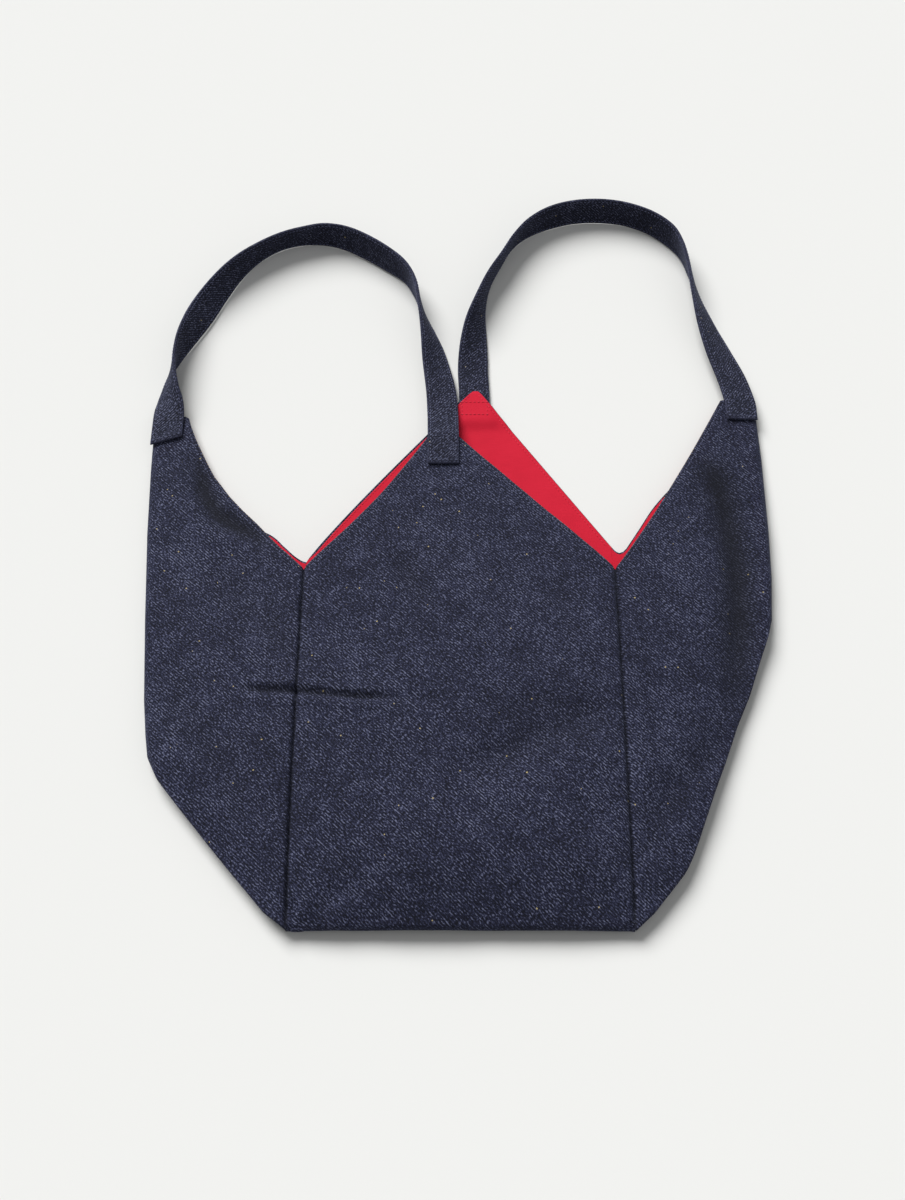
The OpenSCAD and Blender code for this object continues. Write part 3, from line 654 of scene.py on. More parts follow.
def sideColumn(side, u, turn, level):
    # one column of the sheet, from the upper V edge round the slanted fold and the tuck to the lower V edge
    cos = math.cos(turn)
    foldY = float(foldLineY(side, u, turn))
    rimY, lowRimY = float(upperRimY(side, u)), float(lowerRimY(side, u))
    roll = sideSheet["roll"] * mix(sideSheet["tightRoll"], 1, min(1, (1 - u) / sideSheet["tightShare"])) * cos
    thin = 1 - level / sideSheet["roll"]
    groove = bag["grooveWidth"] / 2 * (1 - u) + sideSheet["leastGroove"]
    innerY = mix(bag["creaseY"], side["tuckY"], u)
    tucked = (foldY - bag["baseY"]) / (side["tuckY"] - bag["baseY"])
    underY = mix(bag["baseY"] + side["shift"], side["tuckY"], tucked)
    midFold = float(edgeHeight(np.array(foldY))) / 2
    rollRows, leafRows = sideSheet["rollRows"], sideSheet["leafRows"]

    def upper(y):
        x = sideX(side, u, turn, y, level)
        mid = edgeHeight(y) / 2
        return stacked(x, y, mid + (sideTopZ(side, x, y) - level - mid) * cos)

    def place(y, z):
        return [float(sideX(side, u, turn, y, level)), y, z]

    def leaf(k):
        # how far the sheet is from the middle of the fold, k rows into the tuck
        return (mix(groove, 0.0001, k / leafRows) + level) * cos
    probe = upper(np.array([foldY + roll, foldY + roll + 0.001]))[:, 2]
    zTuck = midFold + (groove + level) * cos
    slope = max(0.0, float(probe[1] - probe[0]) / 0.001)
    steep = min(slope * roll / max((probe[0] - zTuck) / 2, 1e-5), sideSheet["steepest"])
    start = math.atan(steep) if roll > 1e-6 else 0.0
    rollY = foldY + roll * (1 - thin * math.sin(start))
    early = rimY + (rollY - rimY) * np.array(sideSheet["rimSteps"])
    ys = np.concatenate([early, np.linspace(early[-1], rollY, sideSheet["upperRows"] - len(early) + 1)[1:]])
    top = upper(ys).tolist()
    half = (top[-1][2] - zTuck) / (1 + math.cos(start))
    for k in range(1, rollRows + 1):
        a = mix(start, math.pi, k / rollRows)
        top.append(place(foldY + roll - roll * thin * math.sin(a), zTuck + half + half * math.cos(a)))
    deepest = max(innerY, foldY + roll + 1e-5) + level * cos
    for k in range(1, leafRows + 1):
        top.append(place(mix(foldY + roll, deepest, k / leafRows), midFold + leaf(k)))
    low = []
    lowRoll = roll * sideSheet["lowRoll"]
    lowEnd = underY + lowRoll
    for k in range(leafRows, 0, -1):
        low.append(place(mix(lowEnd, max(deepest, lowEnd + 1e-5), k / leafRows), midFold - leaf(k)))
    zBottom = midFold * (1 - cos) + level * cos
    half = (midFold - leaf(0) - zBottom) / 2
    for k in range(rollRows, 0, -1):
        a = math.pi * k / rollRows
        low.append(place(lowEnd - lowRoll * thin * math.sin(a), zBottom + half - half * math.cos(a)))
    late = lowRimY + (lowEnd - lowRimY) * np.array(sideSheet["rimSteps"])
    ys = np.linspace(lowEnd, late[-1], sideSheet["upperRows"] - len(late) + 1)[:-1]
    ys = np.concatenate([ys, late[::-1]])
    lower = stacked(sideX(side, u, turn, ys, level), ys, edgeHeight(ys) / 2 * (1 - cos) + level * cos)
    return np.array(top + low + lower.tolist())


def sidePlaces(side):
    # the columns as shares of the width and, round the outer fold, angles
    width = float(reachOf(side, side["tipY"]))
    shares = edgeSpread(width, fineEdge, sideSheet["step"])[:1 - len(fineEdge)] / width
    turns = math.radians(90) * np.arange(1, sideSheet["turns"] + 1) / sideSheet["turns"]
    return [(float(u), 0.0) for u in shares / shares[-1]] + [(1.0, float(turn)) for turn in turns]


def sideSkin(side, places, level):
    skin = np.stack([sideColumn(side, u, turn, level) for u, turn in places], axis=1)
    rows, fold = skin.shape[0], sideSheet["upperRows"] - 1
    for r in range(rows):  # both layers meet in the outer fold
        skin[r, -1] = skin[min(r, rows - 1 - r, fold), -1]
    return skin


def drawIn(lines, count, start, first=0):
    # the first lines of a sheet move in, spread evenly between one of them and the line that follows
    rim, within = lines[first].copy(), lines[count].copy()
    for k in range(count):
        lines[k] = mix(rim, within, start + (1 - start) * k / count)


def makeSide(name, side):
    places, foldRow = sidePlaces(side), sideSheet["upperRows"] - 1
    outer = sideSkin(side, places, 0.0)
    rows = outer.shape[0]
    x, y = outer[..., 0], outer[..., 1]
    row = np.arange(rows)[:, None]
    upper = row < rows // 2
    turns = np.array([turn for _, turn in places])
    away = np.abs(x) + bag["foldRadius"] * 1.2 * turns
    flats = stacked(np.where(upper, side["sign"] * away, sideSheet["lowerFlat"] - side["sign"] * away), y)
    gap, share = sideRimDistance(side, x, y)
    wears = np.where(upper, np.exp(-gap / hem["wornWidth"]) * ease(share / 0.04), 0)
    wears = np.maximum(wears, sideSheet["foldWear"] * np.sin(turns) * (y > side["tuckY"]))
    wears = np.maximum(wears, sideSheet["rollWear"] * ((row >= foldRow) & (row < foldRow + 5)))
    panel = clothMesh(name + "_side_cloth", outer, sideSkin(side, places, bag["denim"]), flats, wears, denim,
                      mergeFold=foldRow, shade=paintedGrooveShade(flats, gap) * upper)
    settle(panel, name, name + "_side_panel")
    skins = [sideSkin(side, places, level) for level in (liningIn, liningIn + bag["lining"])]
    for skin in skins:  # the lining stops a little short of the V edges, of the seam and of the bottom fold
        drawIn(skin, 4, 0.35)
        drawIn(skin[::-1], 4, 0.70)
        drawIn(skin[:rows // 2].swapaxes(0, 1), 5, 0.45)
        drawIn(skin[foldRow - 7:rows // 2].swapaxes(0, 1), 8, 0.0, first=7)
    lining = clothMesh(name + "_side_lining_cloth", *skins, flats, wears * 0, redCotton, mergeFold=foldRow, edgeSteps=2)
    settle(lining, name, name + "_side_lining")


for sideName, side in sides.items():
    makeSide(sideName, side)
print("sides made")

# Back panel and lining: flat, riding up over the strap that is sewn under the tip
back = {"ramp": 0.012, "bowLeft": 0.0040, "rimLeft": 0.0024, "rimRight": 0.0006, "cols": 0.0036,
        "rows": 75, "tipRows": 60, "wave": 0.0003, "nick": 0.0013, "nickSoft": 0.0018, "flatShift": 1.7,
        "fall": 0.55, "fallFrom": 0.0115, "fallWidth": 0.012}


def backEdges(y):
    half = bag["backTipWidth"] / 2
    edges = []
    for sign, shift in ((-1, bag["shiftLeft"]), (1, bag["shiftRight"])):
        low = bag["notchY"] + shift
        share = np.clip((y - low) / (bag["backTipY"] - low), 0, 1)
        edges.append((mix(sign * bag["seamX"], bag["backTipX"] + sign * half, share), share))
    (left, share), (right, _) = edges
    # the tip's corners are rounded
    nick = back["nick"] * np.exp(-np.maximum(bag["backTipY"] - y, 0) / back["nickSoft"])
    return left - back["bowLeft"] * np.sin(math.pi * share ** 0.65) + nick, right - nick


def backLevel(x, y):
    # rides over the strap end, which is 25 mm wide, and falls softly beside it
    start = bag["backTipY"] - bag["strapLap"] - bag["layerGap"]
    over = ease((y - start + back["ramp"]) / back["ramp"])
    beside = 1 - back["fall"] * ease((np.abs(x - bag["backTipX"]) - back["fallFrom"]) / back["fallWidth"])
    return bag["strapThick"] * over * beside


def backGrid(insetLeft, insetRight, level):
    shares = edgeSpread(2 * bag["seamX"], fineEdge, back["cols"]) / (2 * bag["seamX"])
    grid, flats = [], []
    tipRows, lowRows = np.arange(back["tipRows"], 0, -1) / back["tipRows"], -np.arange(back["rows"] + 1) / back["rows"]
    for t in np.concatenate([tipRows, lowRows]):
        if t <= 0:
            x = mix(-bag["seamX"], bag["seamX"], shares)
            y = mix(bag["notchY"], bag["baseY"] + level, -t) + shiftAt(x)
        else:
            topLeft, topRight = (mix(bag["notchY"] + shift, bag["backTipY"] - insetRight, t)
                                 for shift in (bag["shiftLeft"], bag["shiftRight"]))
            left = backEdges(topLeft)[0] + insetLeft * ease(t / 0.06)
            x = mix(left, backEdges(topRight)[1] - insetRight, shares)
            y = mix(topLeft, topRight, shares)
        wave = back["wave"] * np.sin(x * 70 + 1) * np.sin(y * 55)
        grid.append(stacked(x, y, level + backLevel(x, y) + np.maximum(wave, 0)))
        flats.append(stacked(x + back["flatShift"], y))
    return np.array(grid), np.array(flats)


def makeBack():
    rims = back["rimLeft"], back["rimRight"]
    for name, slot, insets, low, thick, finish, steps in (
            ("panel", "denim", (0, 0), 0.0, bag["denim"], denim, 3),
            ("lining", "lining", rims, liningIn, bag["lining"], redCotton, 2)):
        inner, flats = backGrid(*insets, low)
        outer = backGrid(*insets, low + thick)[0]
        plain = np.zeros(outer.shape[:2])
        piece = clothMesh("back_" + name + "_cloth", outer, inner, flats, plain, finish, edgeSteps=steps)
        settle(piece, "back", "back_" + name)


makeBack()
print("back made")

# Base: from the rolled front edge into the groove, to its crease, and out again to the back edge
base = {"topZ": 0.0086, "cols": 60, "steps": 6, "smoothings": 3, "flatShift": 0.4,
        "liningRows": slice(14, -8), "liningWidth": 0.97}


def baseProfile(x):
    mid, groove = bag["bottomHeight"] / 2, bag["grooveWidth"] / 2
    fore, crease, rear = bag["baseY"], bag["creaseY"], bag["baseY"] + shiftAt(x)
    knots = np.array([
        (fore + 0.0006, base["topZ"]), (fore + 0.0008, mid + groove + 0.0009),
        (fore + 0.0022, mid + groove + 0.0001), (fore + 0.006, mid + groove * 0.9),
        (crease - 0.002, mid + 0.0005), (crease, mid), (crease - 0.002, mid - 0.0005),
        (rear + 0.006, mid - groove * 0.9), (rear + 0.0022, mid - groove - 0.0001),
        (rear + 0.0005, mid - groove - 0.0012), (rear + 0.0001, 0.0026), (rear + 0.0009, 0.0009), (rear + 0.0028, 0.0)])
    share = np.arange(base["steps"])[:, None] / base["steps"]
    line = np.concatenate([mix(one, two, share) for one, two in zip(knots, knots[1:])] + [knots[-1:]])
    for _ in range(base["smoothings"]):
        line[1:-1] = (line[:-2] + 2 * line[1:-1] + line[2:]) / 4
    return line


def makeBase():
    xs = np.linspace(-bag["seamX"], bag["seamX"], base["cols"])
    profiles = [baseProfile(x) for x in xs]
    outer = np.stack([stacked(x, line[:, 0], line[:, 1]) for x, line in zip(xs, profiles)], axis=1)
    steps = np.linalg.norm(np.diff(outer[:, base["cols"] // 2], axis=0), axis=1)
    length = np.concatenate([[0], np.cumsum(steps)])
    flats = stacked(xs[None, :], -length[:, None] - base["flatShift"])
    normals = unitRows(np.cross(np.gradient(outer, axis=0), np.gradient(outer, axis=1)))
    inner = outer - normals * bag["denim"]
    inner[..., 2] = np.maximum(inner[..., 2], 0)
    panel = clothMesh("base_cloth", outer, inner, flats, np.zeros(outer.shape[:2]), denim)
    settle(panel, "base", "base_panel")
    rows = base["liningRows"]
    skins = [outer[rows] - normals[rows] * depth for depth in (liningIn, liningIn + bag["lining"])]
    for skin in skins:
        skin[..., 0] *= base["liningWidth"]
    lining = clothMesh("base_lining_cloth", *skins, flats[rows], np.zeros(skins[0].shape[:2]), redCotton, edgeSteps=2)
    settle(lining, "base", "base_lining")


makeBase()
print("base made")

# Straps: a stations list runs from one sewn end to the other. Each station has x, y, the roll in degrees
# and, where the strap doesn't rest on the ground, its height
straps = {
    "left": {
        "inward": 1, "grooveOpen": 0.0, "slant": 0.29, "flatShift": 0.0,
        "stations": [(-0.0129, 0.2400, 0, "tip"), (-0.0129, 0.2500, 0, "tip"), (-0.0129, 0.2600, 0, "tip"),
                     (-0.0129, 0.2680, 0, 0.0152), (-0.0131, 0.2800, 0, 0.0122), (-0.0133, 0.2915, 3, 0.0099),
                     (-0.0150, 0.3190, 12, 0.0080), (-0.0193, 0.3460, 29, 0.0077), (-0.0245, 0.3730, 53, 0.0112),
                     (-0.0318, 0.4010, 78, None), (-0.0378, 0.4250, 90, None), (-0.0463, 0.4420, 94, None),
                     (-0.0605, 0.4555, 102, None), (-0.0800, 0.4700, 105, None), (-0.0990, 0.4805, 103, None),
                     (-0.1180, 0.4850, 96, None), (-0.1365, 0.4833, 86, None), (-0.1560, 0.4770, 83, None),
                     (-0.1755, 0.4640, 88, None), (-0.1925, 0.4460, 103, None), (-0.2070, 0.4240, 120, None),
                     (-0.2195, 0.4000, 131, None), (-0.2300, 0.3740, 112, None), (-0.2365, 0.3540, 92, None),
                     (-0.2398, 0.3360, 72, None), (-0.2405, 0.3140, 43, 0.0103), (-0.2393, 0.3020, 20, 0.0100),
                     (-0.2388, 0.2915, 5, 0.0099), (-0.2388, 0.2800, 3, "tip"), (-0.2388, 0.2700, 3, "tip"),
                     (-0.2388, 0.2630, 3, "tip")],
    },
    "right": {
        "inward": -1, "grooveOpen": 1.0, "slant": 0.0, "flatShift": 0.6,
        "stations": [(0.0129, 0.2920, 180, 0.0015), (0.0129, 0.3060, 180, 0.0015), (0.0127, 0.3200, 180, 0.0015),
                     (0.0118, 0.3460, 172, None), (0.0138, 0.3800, 138, None), (0.0185, 0.4060, 108, None),
                     (0.0260, 0.4330, 90, None), (0.0375, 0.4570, 82, None), (0.0480, 0.4770, 81, None),
                     (0.0620, 0.4930, 88, None), (0.0820, 0.5050, 98, None), (0.1040, 0.5115, 100, None),
                     (0.1275, 0.5125, 101, None), (0.1495, 0.5085, 99, None), (0.1705, 0.4985, 99, None),
                     (0.1865, 0.4840, 96, None), (0.1953, 0.4680, 86, None), (0.2005, 0.4450, 78, None),
                     (0.2050, 0.4150, 62, None), (0.2108, 0.3890, 43, None), (0.2195, 0.3570, 22, 0.0085),
                     (0.2273, 0.3300, 10, 0.0093), (0.2318, 0.3085, 4, 0.0097), (0.2328, 0.3010, 3, "tip"),
                     (0.2328, 0.2950, 3, "tip"), (0.2328, 0.2880, 3, "tip")],
    },
}
box = {"near": 0.0024, "far": 0.0235, "width": 0.0006}
strapShape = {"step": 0.0018, "edgeSoft": 0.00115, "edgeThin": 0.45, "stitchIn": 0.0022, "stitchWidth": 0.0005,
              "stitchDip": 0.00018, "crown": 0.00012, "endThin": 0.35, "endSoft": 0.0010, "uneven": 0.035,
              "slantLength": 0.014, "wornWidth": 0.0009, "shade": 0.55, "openShade": 0.8, "ground": 0.0002,
              "capOut": 0.0006, "capWide": 0.988, "capThick": 0.30}
stitchHalf = bag["strapWidth"] / 2 - strapShape["stitchIn"]


def smoothLine(knots, step):
    # a curve through the knots, resampled evenly
    knots = np.array(knots)
    t = np.concatenate([[0], np.cumsum(np.linalg.norm(np.diff(knots[:, :3], axis=0), axis=1))])
    slopes = np.zeros_like(knots)
    slopes[1:-1] = (knots[2:] - knots[:-2]) / (t[2:] - t[:-2])[:, None]
    slopes[0], slopes[-1] = (knots[1] - knots[0]) / (t[1] - t[0]), (knots[-1] - knots[-2]) / (t[-1] - t[-2])
    count = int(t[-1] / step)
    places = np.linspace(0, t[-1], count + 1)
    i = np.clip(np.searchsorted(t, places, side="right") - 1, 0, len(t) - 2)
    h = (t[i + 1] - t[i])[:, None]
    s = ((places - t[i]) / (t[i + 1] - t[i]))[:, None]
    return (knots[i] * (2 * s ** 3 - 3 * s ** 2 + 1) + slopes[i] * h * (s ** 3 - 2 * s ** 2 + s)
            + knots[i + 1] * (3 * s ** 2 - 2 * s ** 3) + slopes[i + 1] * h * (s ** 3 - s ** 2))


def strapKnots(strap):
    half, thick = bag["strapWidth"] / 2, bag["strapThick"] / 2
    knots = []
    for x, y, roll, z in strap["stations"]:
        if z == "tip":
            z = float(topZ(x, y)) + bag["layerGap"] + thick
        elif z is None:
            z = half * abs(math.sin(math.radians(roll))) + thick * abs(math.cos(math.radians(roll)))
        knots.append((x, y, z, roll))
    return knots


def strapFrames(strap):
    line = smoothLine(strapKnots(strap), strapShape["step"])
    centre, roll = line[:, :3].copy(), np.radians(line[:, 3])
    way = unitRows(np.gradient(centre, axis=0))
    inside = strap["inward"] * unitRows(stacked(-way[:, 1], way[:, 0], 0.0))
    wide = inside * np.cos(roll)[:, None] + np.array([0, 0, 1]) * np.sin(roll)[:, None]
    wide = unitRows(wide - way * np.sum(wide * way, axis=1, keepdims=True))
    thick = np.cross(way, wide)
    low = centre[:, 2] - bag["strapWidth"] / 2 * np.abs(wide[:, 2]) - bag["strapThick"] / 2 * np.abs(thick[:, 2])
    centre[:, 2] += np.maximum(strapShape["ground"] - low, 0)
    return centre, way, wide, thick


def strapSection(openSeam):
    # places across the band as (across, through), with soft edges and a groove where the two folded layers meet
    half, thick = bag["strapWidth"] / 2, bag["strapThick"] / 2
    xs = np.concatenate([[0, 0.0006, 0.0013, 0.0018, 0.0022, 0.0026, 0.0034, 0.0050], np.linspace(0.008, half, 5)])
    xs = np.concatenate([-half + xs, (half - xs)[::-1][1:]])
    edge = half - np.abs(xs)
    height = thick * (1 - strapShape["edgeThin"] * np.exp(-edge / strapShape["edgeSoft"]))
    height -= strapShape["stitchDip"] * bump(edge - strapShape["stitchIn"], strapShape["stitchWidth"])
    height += strapShape["crown"] * (1 - (xs / half) ** 2)
    out, rise = half + 0.0002, thick * 0.30
    return np.concatenate([stacked(xs, height), [[out, rise], [half - 0.0009 * openSeam - 0.0003, 0], [out, -rise]],
                           stacked(xs, -height)[::-1], [[-out, -rise], [-half - 0.0001, 0], [-out, rise]]])


def ringQuads(first, second, around):
    here = np.arange(around)
    after = (here + 1) % around
    return stacked(first + here, first + after, second + after, second + here)


def makeStrap(name, strap, nodes):
    centre, way, wide, thick = strapFrames(strap)
    section = strapSection(strap["grooveOpen"])
    count, around = len(centre), len(section)
    across, through = section[:, :1], section[:, 1:]
    edge = bag["strapWidth"] / 2 - np.abs(section[:, 0])
    fromEdge = across + bag["strapWidth"] / 2
    girth = np.concatenate([[0], np.cumsum(np.linalg.norm(np.diff(section, axis=0), axis=1))])
    # painted shade: the band is darkened along its rows of stitches and at its box stitching, and more along the inner
    # row of the strap with the open groove
    sideRows = bump(edge - strapShape["stitchIn"], strapShape["stitchWidth"])
    sideRows *= 1 + strapShape["openShade"] * strap["grooveOpen"] * (section[:, 0] > 0)
    length = np.arange(count) * strapShape["step"]
    rings, quads = [], []  # a ring has its points, flat places, wear and shade
    for i in range(count):
        endGap = min(length[i], length[-1] - length[i])
        size = 1 - strapShape["endThin"] * math.exp(-endGap / strapShape["endSoft"])
        size *= 1 + strapShape["uneven"] * math.sin(length[i] * 95) * math.sin(length[i] * 37 + 1)
        lean = strap["slant"] * float(ease(1 - (length[-1] - length[i]) / strapShape["slantLength"]))
        boxRow = bump(endGap - box["near"], box["width"]) + bump(endGap - box["far"], box["width"])
        shade = strapShape["shade"] * np.maximum(sideRows, boxRow * (edge > strapShape["stitchIn"]))
        rings.append((centre[i] + across * wide[i] + through * size * thick[i] - way[i] * fromEdge * lean,
                      stacked(girth + strap["flatShift"], length[i] + 0.3),
                      np.exp(-np.minimum(edge, endGap) / strapShape["wornWidth"]), shade))
    for i in range(count - 1):
        quads.append(ringQuads(i * around, (i + 1) * around, around))
    k = np.arange(around // 2 - 2)
    for i, turn, slant in ((0, -1, 0.0), (count - 1, 1, strap["slant"])):
        first = len(rings) * around
        rings.append((centre[i] + across * strapShape["capWide"] * wide[i] + through * strapShape["capThick"] * thick[i]
                      + way[i] * (turn * strapShape["capOut"] - fromEdge * slant),
                      stacked(section[:, 0], length[i]), np.ones(around), np.zeros(around)))
        quads.append(ringQuads(i * around, first, around))
        # the flat cap is closed across the band
        quads.append(first + stacked(k, k + 1, around - 5 - k, around - 4 - k) % around)
        quads.append(first + np.array([[0, -1, -3, -4], [-1, -2, -3, -3]]) % around)
    points, flats, wears, shades = (np.concatenate(rows) for rows in zip(*rings))
    points[:, 2] = np.maximum(points[:, 2], strapShape["ground"])
    piece = meshPiece(name, points, np.concatenate(quads), flats, wears, strapDenim, shades)
    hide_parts(*nodes)
    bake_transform(piece)
    return centre, way, wide, thick


leftBend = {"start": (0, 0.2916, 0), "end": (0, 0.3150, 0)}
rightWay = (0.0545, 0.9985)
rightBend = {"start": (rightWay[0] * 0.3212, rightWay[1] * 0.3212, 0),
             "end": (rightWay[0] * 0.3440, rightWay[1] * 0.3440, 0)}
leftLine = makeStrap("left_strap", straps["left"],
                     ["left_strap_loop", "left_strap_front_end", "left_strap_side_end"])
rightLine = makeStrap("right_strap", straps["right"],
                      ["right_strap_loop", "right_strap_back_end", "right_strap_side_end"])
print("straps made")

sizeLabels = ("Pitch", "Stitch Length", "Stitch Width", "Stitch Height", "Unevenness")
topStitch = dict(zip(sizeLabels, (0.0032, 0.0024, 0.00066, 0.00056, 0.07)))
edgeStitch = dict(zip(sizeLabels, (0.0029, 0.0012, 0.00050, 0.00050, 0.35)))
seamStitch = dict(zip(sizeLabels, (0.0033, 0.0024, 0.00040, 0.00030, 0.08)))


# Stitches: one tree lays a short rounded stitch along each line at an even pitch
def stitchTree(name, finish):
    f = Nodes(bpy.data.node_groups.new(name, "GeometryNodeTree"))
    face = f.tree.interface
    face.new_socket("Geometry", in_out="INPUT", socket_type="NodeSocketGeometry")
    for label, value in topStitch.items():
        face.new_socket(label, in_out="INPUT", socket_type="NodeSocketFloat").default_value = value
    face.new_socket("Geometry", in_out="OUTPUT", socket_type="NodeSocketGeometry")
    source = f.node("NodeGroupInput", out="Geometry")
    pitch, length, width, height, uneven = (f.other(source, label) for label in topStitch)
    curve = f.node("GeometryNodeMeshToCurve", None, {"Mesh": source})
    spread = f.node("GeometryNodeResampleCurve", {"mode": "LENGTH"}, {"Curve": curve, "Length": pitch})
    ball = f.node("GeometryNodeMeshUVSphere", None, {"Segments": 6, "Rings": 5, "Radius": 0.5})
    along = f.node("FunctionNodeAlignRotationToVector", {"axis": "X"}, {"Vector": f.node("GeometryNodeInputTangent")})
    upward = f.node("GeometryNodeInputNamedAttribute", {"data_type": "FLOAT_VECTOR"}, {"Name": "up"}, out="Attribute")
    upright = f.node("FunctionNodeAlignRotationToVector", {"axis": "Z", "pivot_axis": "X"},
                     {"Rotation": along, "Vector": upward})
    drawn = f.node("FunctionNodeRandomValue", {"data_type": "FLOAT"}, {"Seed": 7, 2: 1 - uneven, 3: uneven + 1}, out=1)
    size = f.node("ShaderNodeCombineXYZ", None, {0: length * drawn, 1: width, 2: height})
    put = f.node("GeometryNodeInstanceOnPoints", None,
                 {"Points": spread, "Instance": ball, "Rotation": upright, "Scale": size})
    real = f.node("GeometryNodeRealizeInstances", None, {"Geometry": put})
    paint = f.node("GeometryNodeSetMaterial", None, {"Geometry": real, "Material": finish})
    f.node("NodeGroupOutput", None, {"Geometry": paint})
    return f.tree


navyStitches, tanStitches, redStitches = (stitchTree(name + "_stitches", finish) for name, finish in threads.items())


def layStitches(name, lines, tree, sizes):
    # each line is its places and the ways up there; the result is one plain mesh
    mesh = bpy.data.meshes.new(name + "_lines")
    points, edges, ups = [], [], []
    for places, upward in lines:
        first = len(points)
        points += places.tolist()
        ups += upward.tolist()
        edges += [(first + k, first + k + 1) for k in range(len(places) - 1)]
    mesh.from_pydata(points, edges, [])
    attribute = mesh.attributes.new("up", "FLOAT_VECTOR", "POINT")
    attribute.data.foreach_set("vector", np.array(ups).reshape(-1))
    guide = addObject(name + "_lines", mesh)
    modifier = guide.modifiers.new("stitches", "NODES")
    modifier.node_group = tree
    for item in tree.interface.items_tree:
        if item.in_out == "INPUT" and item.name in sizes:
            modifier[item.identifier] = sizes[item.name]
    seen = guide.evaluated_get(bpy.context.evaluated_depsgraph_get())
    made = bpy.data.meshes.new_from_object(seen)
    made.name = name
    made.polygons.foreach_set("use_smooth", [True] * len(made.polygons))
    bpy.data.objects.remove(guide)
    piece = addObject(name, made)
    bpy.context.view_layer.update()
    return piece


def topLine(x, y, lift, step=0.0008):
    # places on the bag's upper face, raised along its normal
    x, y = np.broadcast_arrays(np.asarray(x, float), np.asarray(y, float))
    dx = (topZ(x + step, y) - topZ(x - step, y)) / (2 * step)
    dy = (topZ(x, y + step) - topZ(x, y - step)) / (2 * step)
    up = unitRows(stacked(-dx, -dy, 1.0))
    return stacked(x, y, topZ(x, y)) + up * lift, up


def flatLine(x, y, z, up=(0.0, 0.0, 1.0)):
    places = stacked(x, y, z)
    return places, np.tile(up, (len(places), 1))


def movedIn(x, y, inset):
    # an edge's line moved down into the panel, across the edge
    way = unitRows(stacked(np.gradient(x), np.gradient(y)))
    return x + np.where(way[:, 0] < 0, -1, 1) * way[:, 1] * inset, y - np.abs(way[:, 0]) * inset


def hemLines(part, span, inset, lift):
    # a line beside each V edge of a panel, over a span of the edge's shares
    if part == "front":
        y = mix(bag["notchY"], bag["frontTipY"], np.linspace(*span, 60))
        edges = [(x, y) for x in frontEdges(y)]
    else:
        u = np.linspace(*span, 70)
        y = upperRimY(sides[part], u)
        edges = [(sideX(sides[part], u, 0.0, y), y)]
    lines = [topLine(*movedIn(x, y, inset), lift) for x, y in edges]
    for places, _ in lines:
        places[:, 2] += hemDip(inset)
    return lines


for part in ("front", "left", "right"):
    spans = ((0.02, 0.955), (0.01, 0.97))
    if part != "front":
        last = tipShare(sides[part])
        spans = ((0.03, last * 0.985), (0.01, last * 0.95))
    piece = layStitches(part + "_rim_stitches", hemLines(part, spans[0], hem["stitchIn"], 0.0), navyStitches, topStitch)
    settle(piece, part, part + "_rim_stitch")
    edgeLines = hemLines(part, spans[1], hem["threadIn"], hem["threadLift"])
    settle(layStitches(part + "_edge_stitches", edgeLines, tanStitches, edgeStitch), part)


def backRimLine(edge):
    low = bag["notchY"] + (bag["shiftLeft"], bag["shiftRight"])[edge]
    y = np.linspace(low + 0.004, bag["backTipY"] - 0.004, 60)
    x, y = movedIn(backEdges(y)[edge], y, hem["stitchIn"])
    return flatLine(x, y, liningIn + bag["lining"] + backLevel(x, y) + 0.0001)


piece = layStitches("back_rim_stitches", [backRimLine(0), backRimLine(1)], redStitches, topStitch)
settle(piece, "back", "back_rim_stitch")
print("rim stitches made")


# Box stitching: a rectangle of stitches in each sewn strap end
def strapSurface(line, length, across):
    # places on the strap's upper face at a distance from its start and from its middle
    centre, way, wide, thick = line
    i = np.clip(length / strapShape["step"], 0, len(centre) - 1.001)
    k = i.astype(int)
    rows = (centre, wide, thick * np.sign(thick[:, 2:3]))
    middle, outward, up = (mix(row[k], row[k + 1], (i - k)[:, None]) for row in rows)
    lift = bag["strapThick"] / 2 - strapShape["stitchDip"] + 0.00020
    return middle + outward * np.reshape(across, (-1, 1)) + up * lift, up


def boxLines(line, atStart, slant):
    total = (len(line[0]) - 1) * strapShape["step"]
    half, xs = bag["strapWidth"] / 2, np.linspace(-stitchHalf, stitchHalf, 14)
    rows = [(np.linspace(box["near"] + slant * (x + half), box["far"], 16), x) for x in (-stitchHalf, stitchHalf)]
    rows += [(box["near"] + slant * (xs + half), xs), (np.full(14, box["far"]), xs)]
    return [strapSurface(line, d if atStart else total - d, across) for d, across in rows]


for name, line, atStart, slant, part in (("front", leftLine, True, 0.0, "front"),
                                         ("left", leftLine, False, straps["left"]["slant"], "front"),
                                         ("right", rightLine, False, 0.0, "back")):
    piece = layStitches(name + "_box_stitches", boxLines(line, atStart, slant), navyStitches, topStitch)
    settle(piece, part, name + "_box_stitch")


def backBoxLines():
    # on the back tip the box shows on the lining
    z = liningIn + bag["lining"] + bag["strapThick"] + 0.0002
    xs = bag["backTipX"] + np.linspace(-stitchHalf, stitchHalf, 14)
    ys = np.linspace(bag["backTipY"] - bag["strapLap"] + 0.004, 0.3085, 14)
    return [flatLine(x, ys, z) for x in xs[[0, -1]]] + [flatLine(xs, y, z) for y in ys[[0, -1]]]


settle(layStitches("back_box_stitches", backBoxLines(), redStitches, topStitch), "back", "back_box_stitch")

